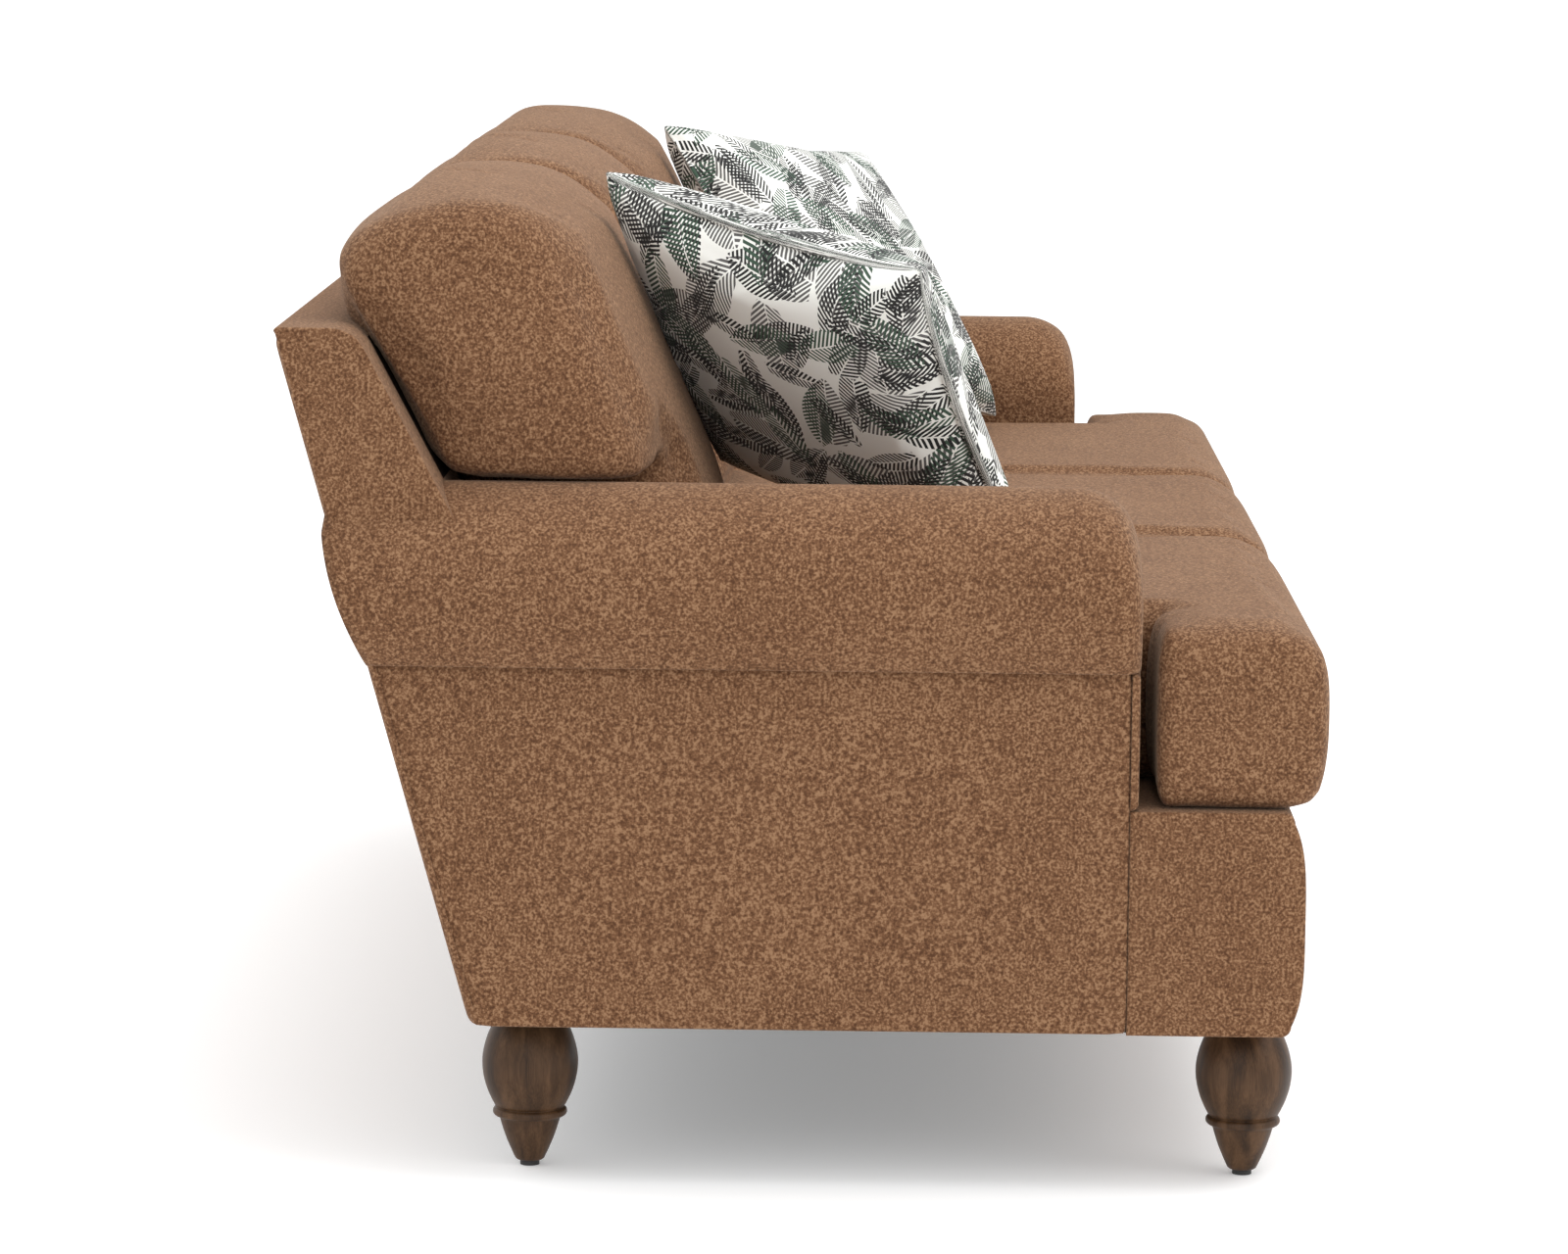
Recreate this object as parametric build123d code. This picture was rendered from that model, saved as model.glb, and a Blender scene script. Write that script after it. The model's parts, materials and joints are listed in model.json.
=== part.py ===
# Three-seat sofa with rolled arms, loose seat and back cushions, two throw pillows and turned legs.
# Millimetres. X runs along the sofa, the front faces -Y, Z is up and the floor is at zero.
# Left and right are as seen from the front, so left is -X.
import math
import os

from build123d import *

# Overall sizes
overall_width = 2160.0
overall_depth = 960.0
arm_height = 640.0
skirt_bottom = 146.0
deck_top = 352.7

# Arms
arm_width = 200.0
roll_overhang = 30.0
roll_height = 161.0
arm_setback = 172.5
arm_front_round = 53.0
arm_cover_wall = 6.0
arm_front_panel_wall = 8.0
arm_pad_inside = 19.0
arm_board_thick = 25.0
arm_board_cover = 50.0
arm_rear_post_setback = 25.0
arm_rear_post_width = 50.0

# Back
back_over_arm = 144.0
back_rake = 15.74
inside_lean = 28.1
back_thick_at_deck = 183.4
back_top_round = 30.0
back_top_round_reach = 1.2
back_top_bend_in = 0.42
back_top_bend_down = 0.26
back_post_depth = 52.0
back_top_rail_height = 68.0
back_top_padding = 18.0
webbing_thick = 2.0
webbing_width = 60.0
webbing_count = 3

# Upholstered panels and the front border
panel_wall = 10.0
back_side_wall = 8.0
border_setback = 32.5
border_bulge = 13.0
deck_wall = 12.0
dust_cover_thick = 1.5

# Timber base
board_thick = 25.0
front_rail_thick = 20.0
corner_block_thick = 32.0
corner_block_width = 140.0
corner_block_depth = 108.0
stretcher_bottom = 200.0
stretcher_height = 100.0

# Seat springs
spring_wire = 4.0
spring_run = 64.0
spring_pitch = 54.0
spring_bend = 0.48
springs_each_seat = 3
clip_length = 11.0
clip_depth = 14.0
clip_height = 7.0

# Legs and their fixings
leg_end_inset = 120.0
leg_front_inset = 35.0
leg_rear_inset = 51.7
leg_top_radius = 29.0
leg_bulb_radius = 44.5
leg_neck_radius = 32.5
leg_ring_radius = 34.0
leg_cone_radius = 28.0
leg_tip_radius = 14.0
leg_bulb_height = 98.0
leg_neck_height = 60.0
leg_ring_height = 50.5
leg_cone_height = 44.5
leg_ring_share = 0.8
leg_ring_step = 2.0
glide_radius = 9.0
glide_height = 5.0
leg_plate_radius = 24.0
hanger_bolt_radius = 4.0
hanger_bolt_in_leg = 36.0
hanger_bolt_in_block = 26.0
screw_radius = 3.0
screw_in_rail = 30.0
screw_spacing = 45.0

# Loose cushions
seat_top = 522.0
seat_ear_length = 160.0
seat_edge_round = 42.0
seat_corner_radius = 32.0
back_cushion_over_arm = 274.0
back_cushion_rear_lean = 31.0
back_cushion_front_lean = 21.1
back_cushion_depth = 157.0
back_cushion_rear_drop = 52.0
back_cushion_top_round = 55.0
back_cushion_side_round = 42.0
back_cushion_foot_round = 32.0
back_cushion_corner_radius = 38.0
back_ear_length = 120.0
back_cushion_sink = 0.65
ear_corner_radius = 8.0
cushion_draw_in = 4.0
seat_wrap = 26.0
back_wrap = 34.0
pillow_seam = 5.0
pillow_flat = 0.45
edge_steps = 10
box_fullness = 0.67
pillow_fullness = 1.0

# Throw pillows, each with its centre's distance from the arm and from the front of the back cushion,
# then its turn about the vertical, its lean back and its roll, in degrees
pillow_size = 414.0
pillow_thick = 124.0
pillow_edge_round = 150.0
pillow_corner_radius = 8.0
pillow_draw_in = 16.0
left_pillow_from_arm = 217.0
left_pillow_from_back = 174.0
left_pillow_turn_angle = 43.0
left_pillow_lean_angle = 39.0
left_pillow_roll_angle = 14.0
right_pillow_from_arm = 195.0
right_pillow_from_back = 172.0
right_pillow_turn_angle = 30.0
right_pillow_lean_angle = 37.5
right_pillow_roll_angle = 8.5

# Clearances
seat_gap = 0.3
cushion_gap = 0.6
inner_gap = 0.4
hole_gap = 0.2
arm_gap = 0.6
seat_rear_gap = 3.0
seat_ear_gap = 13.0
deck_rear_gap = 5.6
back_cushion_gap = 20.0
cut_margin = 1.0

# Places worked out from the sizes above
front_y = -overall_depth / 2
arm_front = front_y + arm_setback
border_front = front_y + border_setback
border_seam = arm_front + arm_front_panel_wall
back_top = arm_height + back_over_arm
back_cushion_top = arm_height + back_cushion_over_arm
roll_bottom = arm_height - roll_height
roll_half = overall_width / 2
panel_half = roll_half - roll_overhang
arm_inner = roll_half - arm_width
wall_half = panel_half - panel_wall
rail_half = wall_half - board_thick
roll_radius = arm_width / 2
roll_centre_x = arm_inner + roll_radius
roll_centre_z = arm_height - roll_radius
frame_bottom = skirt_bottom + 2 * dust_cover_thick
block_top = frame_bottom + corner_block_thick
deck_bottom = deck_top - deck_wall
rail_top = deck_bottom - seat_gap - clip_height
spring_z = rail_top + clip_height / 2
front_rail_front = border_front + panel_wall
front_rail_rear = front_rail_front + front_rail_thick
arm_board_top = arm_height - arm_board_cover - arm_cover_wall
arm_board_bottom = arm_board_top - arm_board_thick
arm_post_inner = arm_inner + arm_cover_wall + arm_pad_inside
top_rail_top = back_top - back_top_padding
top_rail_bottom = top_rail_top - back_top_rail_height
leg_top = skirt_bottom - seat_gap
leg_x = roll_half - leg_end_inset
leg_front_y = border_front + leg_front_inset
seat_bottom = deck_top + seat_gap
seat_height = seat_top - seat_bottom
seat_ear_rear = arm_front - seat_ear_gap
seat_split = arm_inner / 3
back_cushion_bottom = seat_top - back_cushion_sink
back_cushion_rise = back_cushion_top - back_cushion_bottom
cushion_end = arm_inner - arm_gap
back_ear_bottom = arm_height + arm_gap - back_cushion_bottom

rake = math.radians(back_rake)
lean = math.radians(inside_lean)
rear_lean = math.radians(back_cushion_rear_lean)
front_lean = math.radians(back_cushion_front_lean)


def back_outer_y(z):
    """Y of the raked outside of the back at a height."""
    return overall_depth / 2 - (back_top - z) * math.tan(rake)


def back_inner_y(z):
    """Y of the inner face of the outside back panel at a height."""
    return back_outer_y(z) - panel_wall / math.cos(rake)


def post_front_y(z):
    """Y of the front edge of the back posts at a height."""
    return back_inner_y(z) - back_post_depth / math.cos(rake)


def inside_back_y(z):
    """Y of the padded front of the back at a height."""
    return inside_back_foot + (z - deck_top) * math.tan(lean)


inside_back_foot = back_outer_y(deck_top) - back_thick_at_deck
arm_rear_post_front = inside_back_foot + arm_rear_post_setback
leg_rear_y = back_outer_y(skirt_bottom) - leg_rear_inset
deck_rear = post_front_y(deck_bottom) - deck_rear_gap
seat_rear = inside_back_foot - seat_rear_gap
back_cushion_foot = inside_back_y(seat_top) - back_cushion_gap


def board(x0, x1, y0, y1, z0, z1):
    """A square-edged board between two opposite corners."""
    middle = Pos((x0 + x1) / 2, (y0 + y1) / 2, (z0 + z1) / 2)
    return middle * Box(x1 - x0, y1 - y0, z1 - z0)


def along_x(outline, x0, x1):
    """An outline in Y and Z carried from x0 to x1."""
    return Pos(x0, 0, 0) * extrude(Plane.YZ * outline, amount=x1 - x0, dir=(1, 0, 0))


def along_y(outline, y0, y1):
    """An outline in X and Z carried from y0 to y1."""
    return Pos(0, y0, 0) * extrude(Plane.XZ * outline, amount=y1 - y0, dir=(0, 1, 0))


def polygon(*points):
    """A flat face with straight sides."""
    return make_face(Polyline(*points, close=True))


def rod(x, y, z0, z1, radius):
    """An upright round rod."""
    return Pos(x, y, (z0 + z1) / 2) * Cylinder(radius, z1 - z0)


def mirrored(shape):
    """The same piece on the other side of the sofa."""
    return shape.mirror(Plane.YZ)


def raked_strip(z0, z1, front, rear):
    """Outline between two raked lines, each given as a function of height."""
    return polygon((front(z0), z0), (rear(z0), z0), (rear(z1), z1), (front(z1), z1))


# Timber base
def make_front_rail():
    return board(-wall_half, wall_half, front_rail_front, front_rail_rear, block_top, rail_top)


def rear_rail_front_y(z):
    return back_inner_y(z) - board_thick / math.cos(rake)


def make_rear_rail():
    outline = raked_strip(block_top, rail_top, rear_rail_front_y, back_inner_y)
    return along_x(outline, -rail_half, rail_half)


side_rail_rear = rear_rail_front_y(block_top)
screw_x = (rail_half + wall_half) / 2


def screw_places(leg_y):
    """Y of the two screws that hold a side rail to the corner block over a leg."""
    return [leg_y - screw_spacing / 2 + leg_plate_radius, leg_y + screw_spacing / 2 + leg_plate_radius]


def make_side_rail():
    rail = board(rail_half, wall_half, front_rail_rear, side_rail_rear, block_top, rail_top)
    for leg_y in (leg_front_y, rear_screw_centre):
        for screw_y in screw_places(leg_y):
            rail -= rod(screw_x, screw_y, block_top, block_top + screw_in_rail, screw_radius + hole_gap)
    return rail


rear_block_front = back_inner_y(frame_bottom) - corner_block_depth
rear_block_rear = back_inner_y(frame_bottom) - inner_gap
rear_screw_centre = (rear_block_front + rear_block_rear) / 2 - leg_plate_radius
block_inner = wall_half - corner_block_width


def make_corner_block(y0, y1, leg_y, screw_centre):
    """A plywood block under a corner of the base, bored for the leg bolt and the rail screws."""
    block = board(block_inner, wall_half, y0, y1, frame_bottom, block_top)
    bolt_top = frame_bottom + hanger_bolt_in_block
    block -= rod(leg_x, leg_y, frame_bottom, bolt_top, hanger_bolt_radius + hole_gap)
    for screw_y in screw_places(screw_centre):
        block -= rod(screw_x, screw_y, frame_bottom, block_top, screw_radius + hole_gap)
    return block


def make_corner_blocks():
    front_rear = front_rail_front + corner_block_depth
    front = make_corner_block(front_rail_front, front_rear, leg_front_y, leg_front_y)
    rear = make_corner_block(rear_block_front, rear_block_rear, leg_rear_y, rear_screw_centre)
    return Compound([front, rear, mirrored(front), mirrored(rear)])


def make_frame_screws():
    screws = []
    for centre in (leg_front_y, rear_screw_centre):
        for screw_y in screw_places(centre):
            screw = rod(screw_x, screw_y, frame_bottom, block_top + screw_in_rail, screw_radius)
            screws += [screw, mirrored(screw)]
    return Compound(screws)


def make_seat_stretchers():
    top = stretcher_bottom + stretcher_height
    outline = polygon(
        (front_rail_rear, stretcher_bottom),
        (rear_rail_front_y(stretcher_bottom), stretcher_bottom),
        (rear_rail_front_y(top), top),
        (front_rail_rear, top),
    )
    stretcher = along_x(outline, seat_split - board_thick / 2, seat_split + board_thick / 2)
    return Compound([stretcher, mirrored(stretcher)])


# Seat springs and their clips
spring_front_y = (front_rail_front + front_rail_rear) / 2
spring_rear_y = (rear_rail_front_y(rail_top) + back_inner_y(rail_top)) / 2


def spring_places():
    """X of every spring: evenly spread under each of the three seats, clear of the back posts."""
    step = 2 * seat_split / (springs_each_seat + 1)
    seats = (-2 * seat_split, 0, 2 * seat_split)
    offsets = [step * (i - (springs_each_seat - 1) / 2) for i in range(springs_each_seat)]
    return [seat + offset for seat in seats for offset in offsets]


def make_seat_springs():
    """Sinuous springs of square wire: straight runs across, joined by bends that are nearly half circles."""
    count = max(2, round((spring_rear_y - spring_front_y) / spring_pitch))
    pitch = (spring_rear_y - spring_front_y) / count
    corners = []
    for i in range(count + 1):
        side = spring_run / 2 if i % 2 else -spring_run / 2
        y = spring_front_y + i * pitch
        corners += [(side, y), (-side, y)]
    path = FilletPolyline(*corners, radius=pitch * spring_bend)
    outline = make_face(offset(path, amount=spring_wire / 2, side=Side.BOTH).edges())
    wire = Pos(0, 0, spring_z - spring_wire / 2) * extrude(outline, amount=spring_wire)
    return Compound([Pos(x, 0, 0) * wire for x in spring_places()])


def make_spring_clips():
    """Clips on the front and rear rails, each holding the end run of a spring in its eye."""
    clips = []
    eye = spring_wire + 2 * seat_gap
    clip = Box(clip_length, clip_depth, clip_height) - Box(clip_length, eye, eye)
    for x in spring_places():
        for y in (spring_front_y, spring_rear_y):
            clips.append(Pos(x, y, spring_z) * clip)
    return Compound(clips)


# Deck, front border and dust cover
def make_seat_deck():
    side = arm_post_inner - inner_gap
    return board(-side, side, border_seam + seat_gap, deck_rear, deck_bottom, deck_top)


def make_front_border():
    """Padded border across the front of the base, swelling forward, with its ends wrapped round the sides."""
    half_height = (deck_top + skirt_bottom) / 2
    lower = (border_front, skirt_bottom)
    upper = (border_front, deck_top)
    outline = make_face([
        ThreePointArc(lower, (border_front - border_bulge, half_height), upper),
        Line(upper, (border_seam, deck_top)),
        Line((border_seam, deck_top), (border_seam, skirt_bottom)),
        Line((border_seam, skirt_bottom), lower),
    ])
    hollow = board(-wall_half, wall_half, front_rail_front, 0, 0, deck_bottom)
    return along_x(outline, -panel_half, panel_half) - hollow


def make_dust_cover():
    z1 = frame_bottom
    z0 = frame_bottom - dust_cover_thick
    side = wall_half - inner_gap
    sheet = board(-side, side, front_rail_front + inner_gap, back_inner_y(z0) - inner_gap, z0, z1)
    for x in (-leg_x, leg_x):
        for y in (leg_front_y, leg_rear_y):
            sheet -= rod(x, y, z0, z1, leg_plate_radius + inner_gap)
    return sheet


# Arms
def arm_profile(inset):
    """Arm across its length: flat inside, a round roll on top that turns back under to the side panel."""
    drop = roll_centre_z - roll_bottom
    under_radius = (roll_overhang ** 2 + drop ** 2) / (2 * roll_overhang)
    under_x = roll_half - under_radius
    under_angle = math.asin((drop - inset) / (under_radius - inset))
    r = roll_radius - inset
    u = under_radius - inset
    slant = math.sqrt(0.5)
    foot = (arm_inner + inset, deck_top + seat_gap)
    inside = (arm_inner + inset, roll_centre_z)
    crest = (roll_centre_x, roll_centre_z + r)
    outside = (roll_half - inset, roll_centre_z)
    under = (under_x + u * math.cos(under_angle), roll_bottom + inset)
    inside_mid = (roll_centre_x - r * slant, roll_centre_z + r * slant)
    outside_mid = (roll_centre_x + r * slant, roll_centre_z + r * slant)
    under_mid = (under_x + u * math.cos(under_angle / 2), roll_centre_z - u * math.sin(under_angle / 2))
    tuck = (wall_half, roll_bottom + inset)
    tuck_foot = (wall_half, deck_top + seat_gap)
    return make_face([
        Line(foot, inside),
        ThreePointArc(inside, inside_mid, crest),
        ThreePointArc(crest, outside_mid, outside),
        ThreePointArc(outside, under_mid, under),
        Line(under, tuck),
        Line(tuck, tuck_foot),
        Line(tuck_foot, foot),
    ])


def arm_side(front, top, rounding):
    """Arm from the side: upright front with a rounded top corner, raked rear."""
    z0 = deck_top
    slant = rounding * (1 - math.sqrt(0.5))
    return make_face([
        Line((front, z0), (front, top - rounding)),
        ThreePointArc((front, top - rounding), (front + slant, top - slant), (front + rounding, top)),
        Line((front + rounding, top), (back_inner_y(top), top)),
        Line((back_inner_y(top), top), (back_inner_y(z0), z0)),
        Line((back_inner_y(z0), z0), (front, z0)),
    ])


def arm_form(inset, front_inset):
    """Solid arm shape drawn in by an inset all round, its front drawn in by another."""
    bar = along_y(arm_profile(inset), arm_front, overall_depth / 2)
    side = arm_side(arm_front + front_inset, arm_height - inset, arm_front_round - inset)
    return bar & along_x(side, arm_inner - arm_width, roll_half + arm_width)


def make_arm_cover():
    cover = arm_form(0, 0) - arm_form(arm_cover_wall, arm_cover_wall)
    below_roll = board(
        arm_inner + arm_cover_wall, roll_half + cut_margin,
        arm_front - cut_margin, arm_front + arm_front_panel_wall,
        deck_top, roll_bottom,
    )
    return cover - below_roll


def make_arm_pad():
    pad = arm_form(arm_cover_wall + inner_gap, arm_front_panel_wall + inner_gap)
    hollow = board(
        arm_post_inner, wall_half, arm_front, overall_depth / 2, deck_top, arm_board_top,
    )
    return pad - hollow


arm_post_front = border_seam + inner_gap


def make_arm_board():
    rear = back_inner_y(arm_board_bottom) - inner_gap
    return board(arm_post_inner, wall_half, arm_post_front, rear, arm_board_bottom, arm_board_top)


def make_arm_front_post():
    rear = arm_post_front + board_thick
    return board(arm_post_inner, rail_half, arm_post_front, rear, block_top, arm_board_bottom)


def make_arm_rear_post():
    rear = arm_rear_post_front + board_thick
    inner = rail_half - arm_rear_post_width
    return board(inner, rail_half, arm_rear_post_front, rear, block_top, arm_board_bottom)


def make_outside_arm_panel():
    top = roll_bottom - seat_gap
    front = border_seam + seat_gap
    outline = raked_strip(skirt_bottom, top, lambda z: front, back_inner_y)
    return along_x(outline, wall_half, panel_half)


def make_arm_front_panel():
    inner = arm_inner + arm_cover_wall + seat_gap
    rear = arm_front + arm_front_panel_wall
    return board(inner, panel_half, arm_front, rear, deck_top, roll_bottom - seat_gap)


# Back
def make_back_posts():
    outline = raked_strip(rail_top, top_rail_bottom, post_front_y, back_inner_y)
    posts = []
    for right in (seat_split + board_thick / 2, arm_inner):
        post = along_x(outline, right - board_thick, right)
        posts += [post, mirrored(post)]
    return Compound(posts)


back_wide = panel_half - back_side_wall - inner_gap
back_narrow = arm_inner - seat_gap
wing_bottom = arm_height + inner_gap


def make_back_top_rail():
    outline = raked_strip(top_rail_bottom, top_rail_top, post_front_y, back_inner_y)
    return along_x(outline, -back_wide, back_wide)


def make_back_webbing():
    """Flat straps across the fronts of the back posts, evenly spaced."""
    first = deck_top + webbing_width
    pitch = (top_rail_top - webbing_width - first) / webbing_count
    straps = []
    for i in range(webbing_count):
        z0 = first + pitch * (i + 0.5) - webbing_width / 2
        outline = raked_strip(z0, z0 + webbing_width, webbing_front_y, post_front_y)
        straps.append(along_x(outline, -back_narrow, back_narrow))
    return Compound(straps)


def webbing_front_y(z):
    return post_front_y(z) - webbing_thick / math.cos(rake)


def pad_rear_y(z):
    return webbing_front_y(z) - inner_gap


def back_side_edges(z0, rear):
    """Edges of the back seen from the side, from a height up over the rounded top to the raked rear."""
    front_top = (inside_back_y(back_top - back_top_round), back_top - back_top_round)
    flat_start = (front_top[0] + back_top_round * back_top_round_reach, back_top)
    bend_y = front_top[0] + back_top_round * back_top_bend_in
    bend = (bend_y, back_top - back_top_round * back_top_bend_down)
    rear_top = (rear(back_top), back_top)
    return [
        Line((inside_back_y(z0), z0), front_top),
        ThreePointArc(front_top, bend, flat_start),
        Line(flat_start, rear_top),
    ]


def make_inside_back_pad():
    """Padded front of the back, full width above the arms and between them below."""
    rail_rear = (back_inner_y(top_rail_top), top_rail_top)
    rail_front = (pad_rear_y(top_rail_top), top_rail_top)
    foot_z = deck_top + seat_gap
    foot = (pad_rear_y(foot_z), foot_z)
    edges = back_side_edges(foot_z, back_inner_y)
    edges += [
        Line((back_inner_y(back_top), back_top), rail_rear),
        Line(rail_rear, rail_front),
        Line(rail_front, foot),
        Line(foot, (inside_back_y(foot_z), foot_z)),
    ]
    pad = along_x(make_face(edges), -back_wide, back_wide)
    notch = board(back_narrow, roll_half, 0, overall_depth / 2, 0, wing_bottom)
    return pad - notch - mirrored(notch)


def make_back_side_panel():
    edges = back_side_edges(wing_bottom, back_inner_y)
    edges += [
        Line((back_inner_y(back_top), back_top), (back_inner_y(wing_bottom), wing_bottom)),
        Line((back_inner_y(wing_bottom), wing_bottom), (inside_back_y(wing_bottom), wing_bottom)),
    ]
    return along_x(make_face(edges), panel_half - back_side_wall, panel_half)


def make_outside_back_panel():
    """Raked rear panel, as wide as the sides, with round lobes that close the rear of the arm rolls."""
    slab = along_x(raked_strip(skirt_bottom, back_top, back_inner_y, back_outer_y), -roll_half, roll_half)
    lobe = along_y(arm_profile(0), 0, overall_depth / 2)
    sheet = board(-panel_half, panel_half, 0, overall_depth / 2, skirt_bottom, back_top)
    return slab & (sheet + lobe + mirrored(lobe))


# Legs
def make_leg(x, y):
    """Turned leg: a bulb over a ring and a tapered foot, bored for its bolt."""
    top = (leg_top_radius, leg_top)
    bulb = (leg_bulb_radius, leg_bulb_height)
    neck = (leg_neck_radius, leg_neck_height)
    ring_half = (leg_ring_height - leg_cone_height) * leg_ring_share
    ring_over = (leg_neck_radius - leg_ring_step, leg_ring_height + ring_half)
    ring_under = (leg_cone_radius, leg_ring_height - ring_half)
    profile = make_face([
        Line((0, leg_top), top),
        ThreePointArc(top, bulb, neck),
        Line(neck, ring_over),
        ThreePointArc(ring_over, (leg_ring_radius, leg_ring_height), ring_under),
        Line(ring_under, (leg_tip_radius, glide_height)),
        Line((leg_tip_radius, glide_height), (0, glide_height)),
        Line((0, glide_height), (0, leg_top)),
    ])
    turned = revolve(Plane.XZ * profile, axis=Axis.Z)
    bore = rod(0, 0, leg_top - hanger_bolt_in_leg, leg_top, hanger_bolt_radius + hole_gap)
    return Pos(x, y, 0) * (turned - bore)


leg_places = {
    "front_right_leg": (leg_x, leg_front_y),
    "front_left_leg": (-leg_x, leg_front_y),
    "rear_right_leg": (leg_x, leg_rear_y),
    "rear_left_leg": (-leg_x, leg_rear_y),
}


def make_leg_glides():
    return Compound([rod(x, y, 0, glide_height, glide_radius) for x, y in leg_places.values()])


def make_leg_plates():
    plates = []
    for x, y in leg_places.values():
        plate = rod(x, y, leg_top, frame_bottom, leg_plate_radius)
        plates.append(plate - rod(x, y, leg_top, frame_bottom, hanger_bolt_radius + hole_gap))
    return Compound(plates)


def make_leg_bolts():
    z0 = leg_top - hanger_bolt_in_leg
    z1 = frame_bottom + hanger_bolt_in_block
    return Compound([rod(x, y, z0, z1, hanger_bolt_radius) for x, y in leg_places.values()])


# Cushions
def pulled_corners(corners, insets):
    """Corners of a square-cornered outline, counter-clockwise, with each side moved inwards.

    insets are for the left, right, lower and upper sides.
    """
    left, right, lower, upper = insets
    count = len(corners)
    pulled = []
    for i in range(count):
        here = Vector(*corners[i])
        before = (here - Vector(*corners[i - 1])).normalized()
        after = (Vector(*corners[(i + 1) % count]) - here).normalized()
        for way in (before, after):
            sideways = right if way.Y > 0 else left
            upright = lower if way.X > 0 else upper
            here -= Vector(way.Y * sideways, -way.X * upright)
        pulled.append(here)
    return pulled


def soft_outline(corners, insets, radius, draw_ins):
    """Outline with round corners, each side a shallow arc that comes in by its draw_in at its middle.

    draw_ins are for the left, right, lower and upper sides; a side with none is straight. A corner that
    turns inwards, where an ear meets the cushion, has a small radius.
    """
    left, right, lower, upper = draw_ins
    pulled = pulled_corners(corners, insets)
    count = len(pulled)
    ends = []
    edges = []
    for i in range(count):
        here = pulled[i]
        back = (pulled[i - 1] - here).normalized()
        on = (pulled[(i + 1) % count] - here).normalized()
        bend = ear_corner_radius if back.cross(on).Z > 0 else radius
        ends.append((here + back * bend, here + on * bend, on))
        middle = here + (back + on) * bend * (1 - math.sqrt(0.5))
        edges.append(ThreePointArc(here + back * bend, middle, here + on * bend))
    for i in range(count):
        start, on = ends[i][1:]
        end = ends[(i + 1) % count][0]
        upright = lower if on.X > 0 else upper
        sideways = right if on.Y > 0 else left
        draw_in = upright if abs(on.X) > abs(on.Y) else sideways
        middle = (start + end) / 2 - Vector(on.Y, -on.X) * draw_in
        edges.append(ThreePointArc(start, middle, end) if draw_in else Line(start, end))
    return make_face(edges)


def padded_form(plane_at, corners_at, rounds, radius, draw_ins, fullness):
    """Loft of soft outlines through a cushion's depth, fullest halfway.

    The edge follows a rounded square: at each angle from 0 to 180 degrees the section lies at
    (1 - cos^fullness) / 2 of the depth, drawn in by 1 - sin^fullness of each edge round.
    """
    sections = []
    for step in range(edge_steps + 1):
        angle = math.pi * step / edge_steps
        reach = math.copysign(abs(math.cos(angle)) ** fullness, math.cos(angle))
        share = (1 - reach) / 2
        pull = 1 - abs(math.sin(angle)) ** fullness
        outline = soft_outline(corners_at(share), [pull * edge for edge in rounds], radius, draw_ins)
        sections.append(plane_at(share) * outline)
    return loft(sections, ruled=True)


def core_form(plane_at, corners_at, layers, grow, depth):
    """Straight-sided filling, lofted through layers of (share of the depth, inset from the cushion's edge).

    grow makes it that much larger all round, for the space it fills.
    """
    sections = []
    last = len(layers) - 1
    for i, (share, inset) in enumerate(layers):
        outward = grow / depth * (2 * i / last - 1)
        corners = pulled_corners(corners_at(share), [inset - grow] * 4)
        sections.append(plane_at(share + outward) * make_face(Polyline(*corners, close=True)))
    return loft(sections, ruled=True)


def cover_and_core(plane_at, corners_at, rounds, radius, draw_ins, fullness, layers, depth):
    """A sewn and wrapped cover, hollow where its filling lies, and the filling."""
    cover = padded_form(plane_at, corners_at, rounds, radius, draw_ins, fullness)
    cover -= core_form(plane_at, corners_at, layers, inner_gap, depth)
    return cover, core_form(plane_at, corners_at, layers, 0, depth)


def seat_cushion(corners):
    return cover_and_core(
        lambda share: Plane(origin=(0, 0, seat_bottom + share * seat_height)),
        lambda share: corners,
        [seat_edge_round] * 4,
        seat_corner_radius,
        [cushion_draw_in] * 4,
        box_fullness,
        [(seat_wrap / seat_height, seat_wrap), (1 - seat_wrap / seat_height, seat_wrap)],
        seat_height,
    )


def middle_seat_corners():
    side = seat_split - cushion_gap / 2
    return [(-side, front_y), (side, front_y), (side, seat_rear), (-side, seat_rear)]


def end_seat_corners():
    """Seat beside the right arm, with an ear that passes in front of the arm."""
    inner = seat_split + cushion_gap / 2
    ear = arm_inner + seat_ear_length
    return [
        (inner, front_y), (ear, front_y), (ear, seat_ear_rear),
        (cushion_end, seat_ear_rear), (cushion_end, seat_rear), (inner, seat_rear),
    ]


def cushion_lean(share):
    """Lean of a back cushion's layers, from its rear to its front."""
    return rear_lean + (front_lean - rear_lean) * share


def back_cushion_plane(share):
    angle = cushion_lean(share)
    foot = (0, back_cushion_foot - share * back_cushion_depth, back_cushion_bottom)
    return Plane(foot, (1, 0, 0), (0, -math.cos(angle), math.sin(angle)))


def back_cushion(corners_at):
    sides = back_cushion_side_round
    rear = back_wrap / back_cushion_depth
    return cover_and_core(
        back_cushion_plane,
        corners_at,
        [sides, sides, back_cushion_foot_round, back_cushion_top_round],
        back_cushion_corner_radius,
        [cushion_draw_in, cushion_draw_in, 0, cushion_draw_in],
        box_fullness,
        [(rear, back_wrap), (1 - rear, back_wrap)],
        back_cushion_depth,
    )


def back_cushion_crest(share):
    """Length of the cushion's layers up their slope: the top falls towards the rear."""
    rise = back_cushion_rise - back_cushion_rear_drop * (1 - share) ** 2
    return rise / math.cos(cushion_lean(share))


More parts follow.
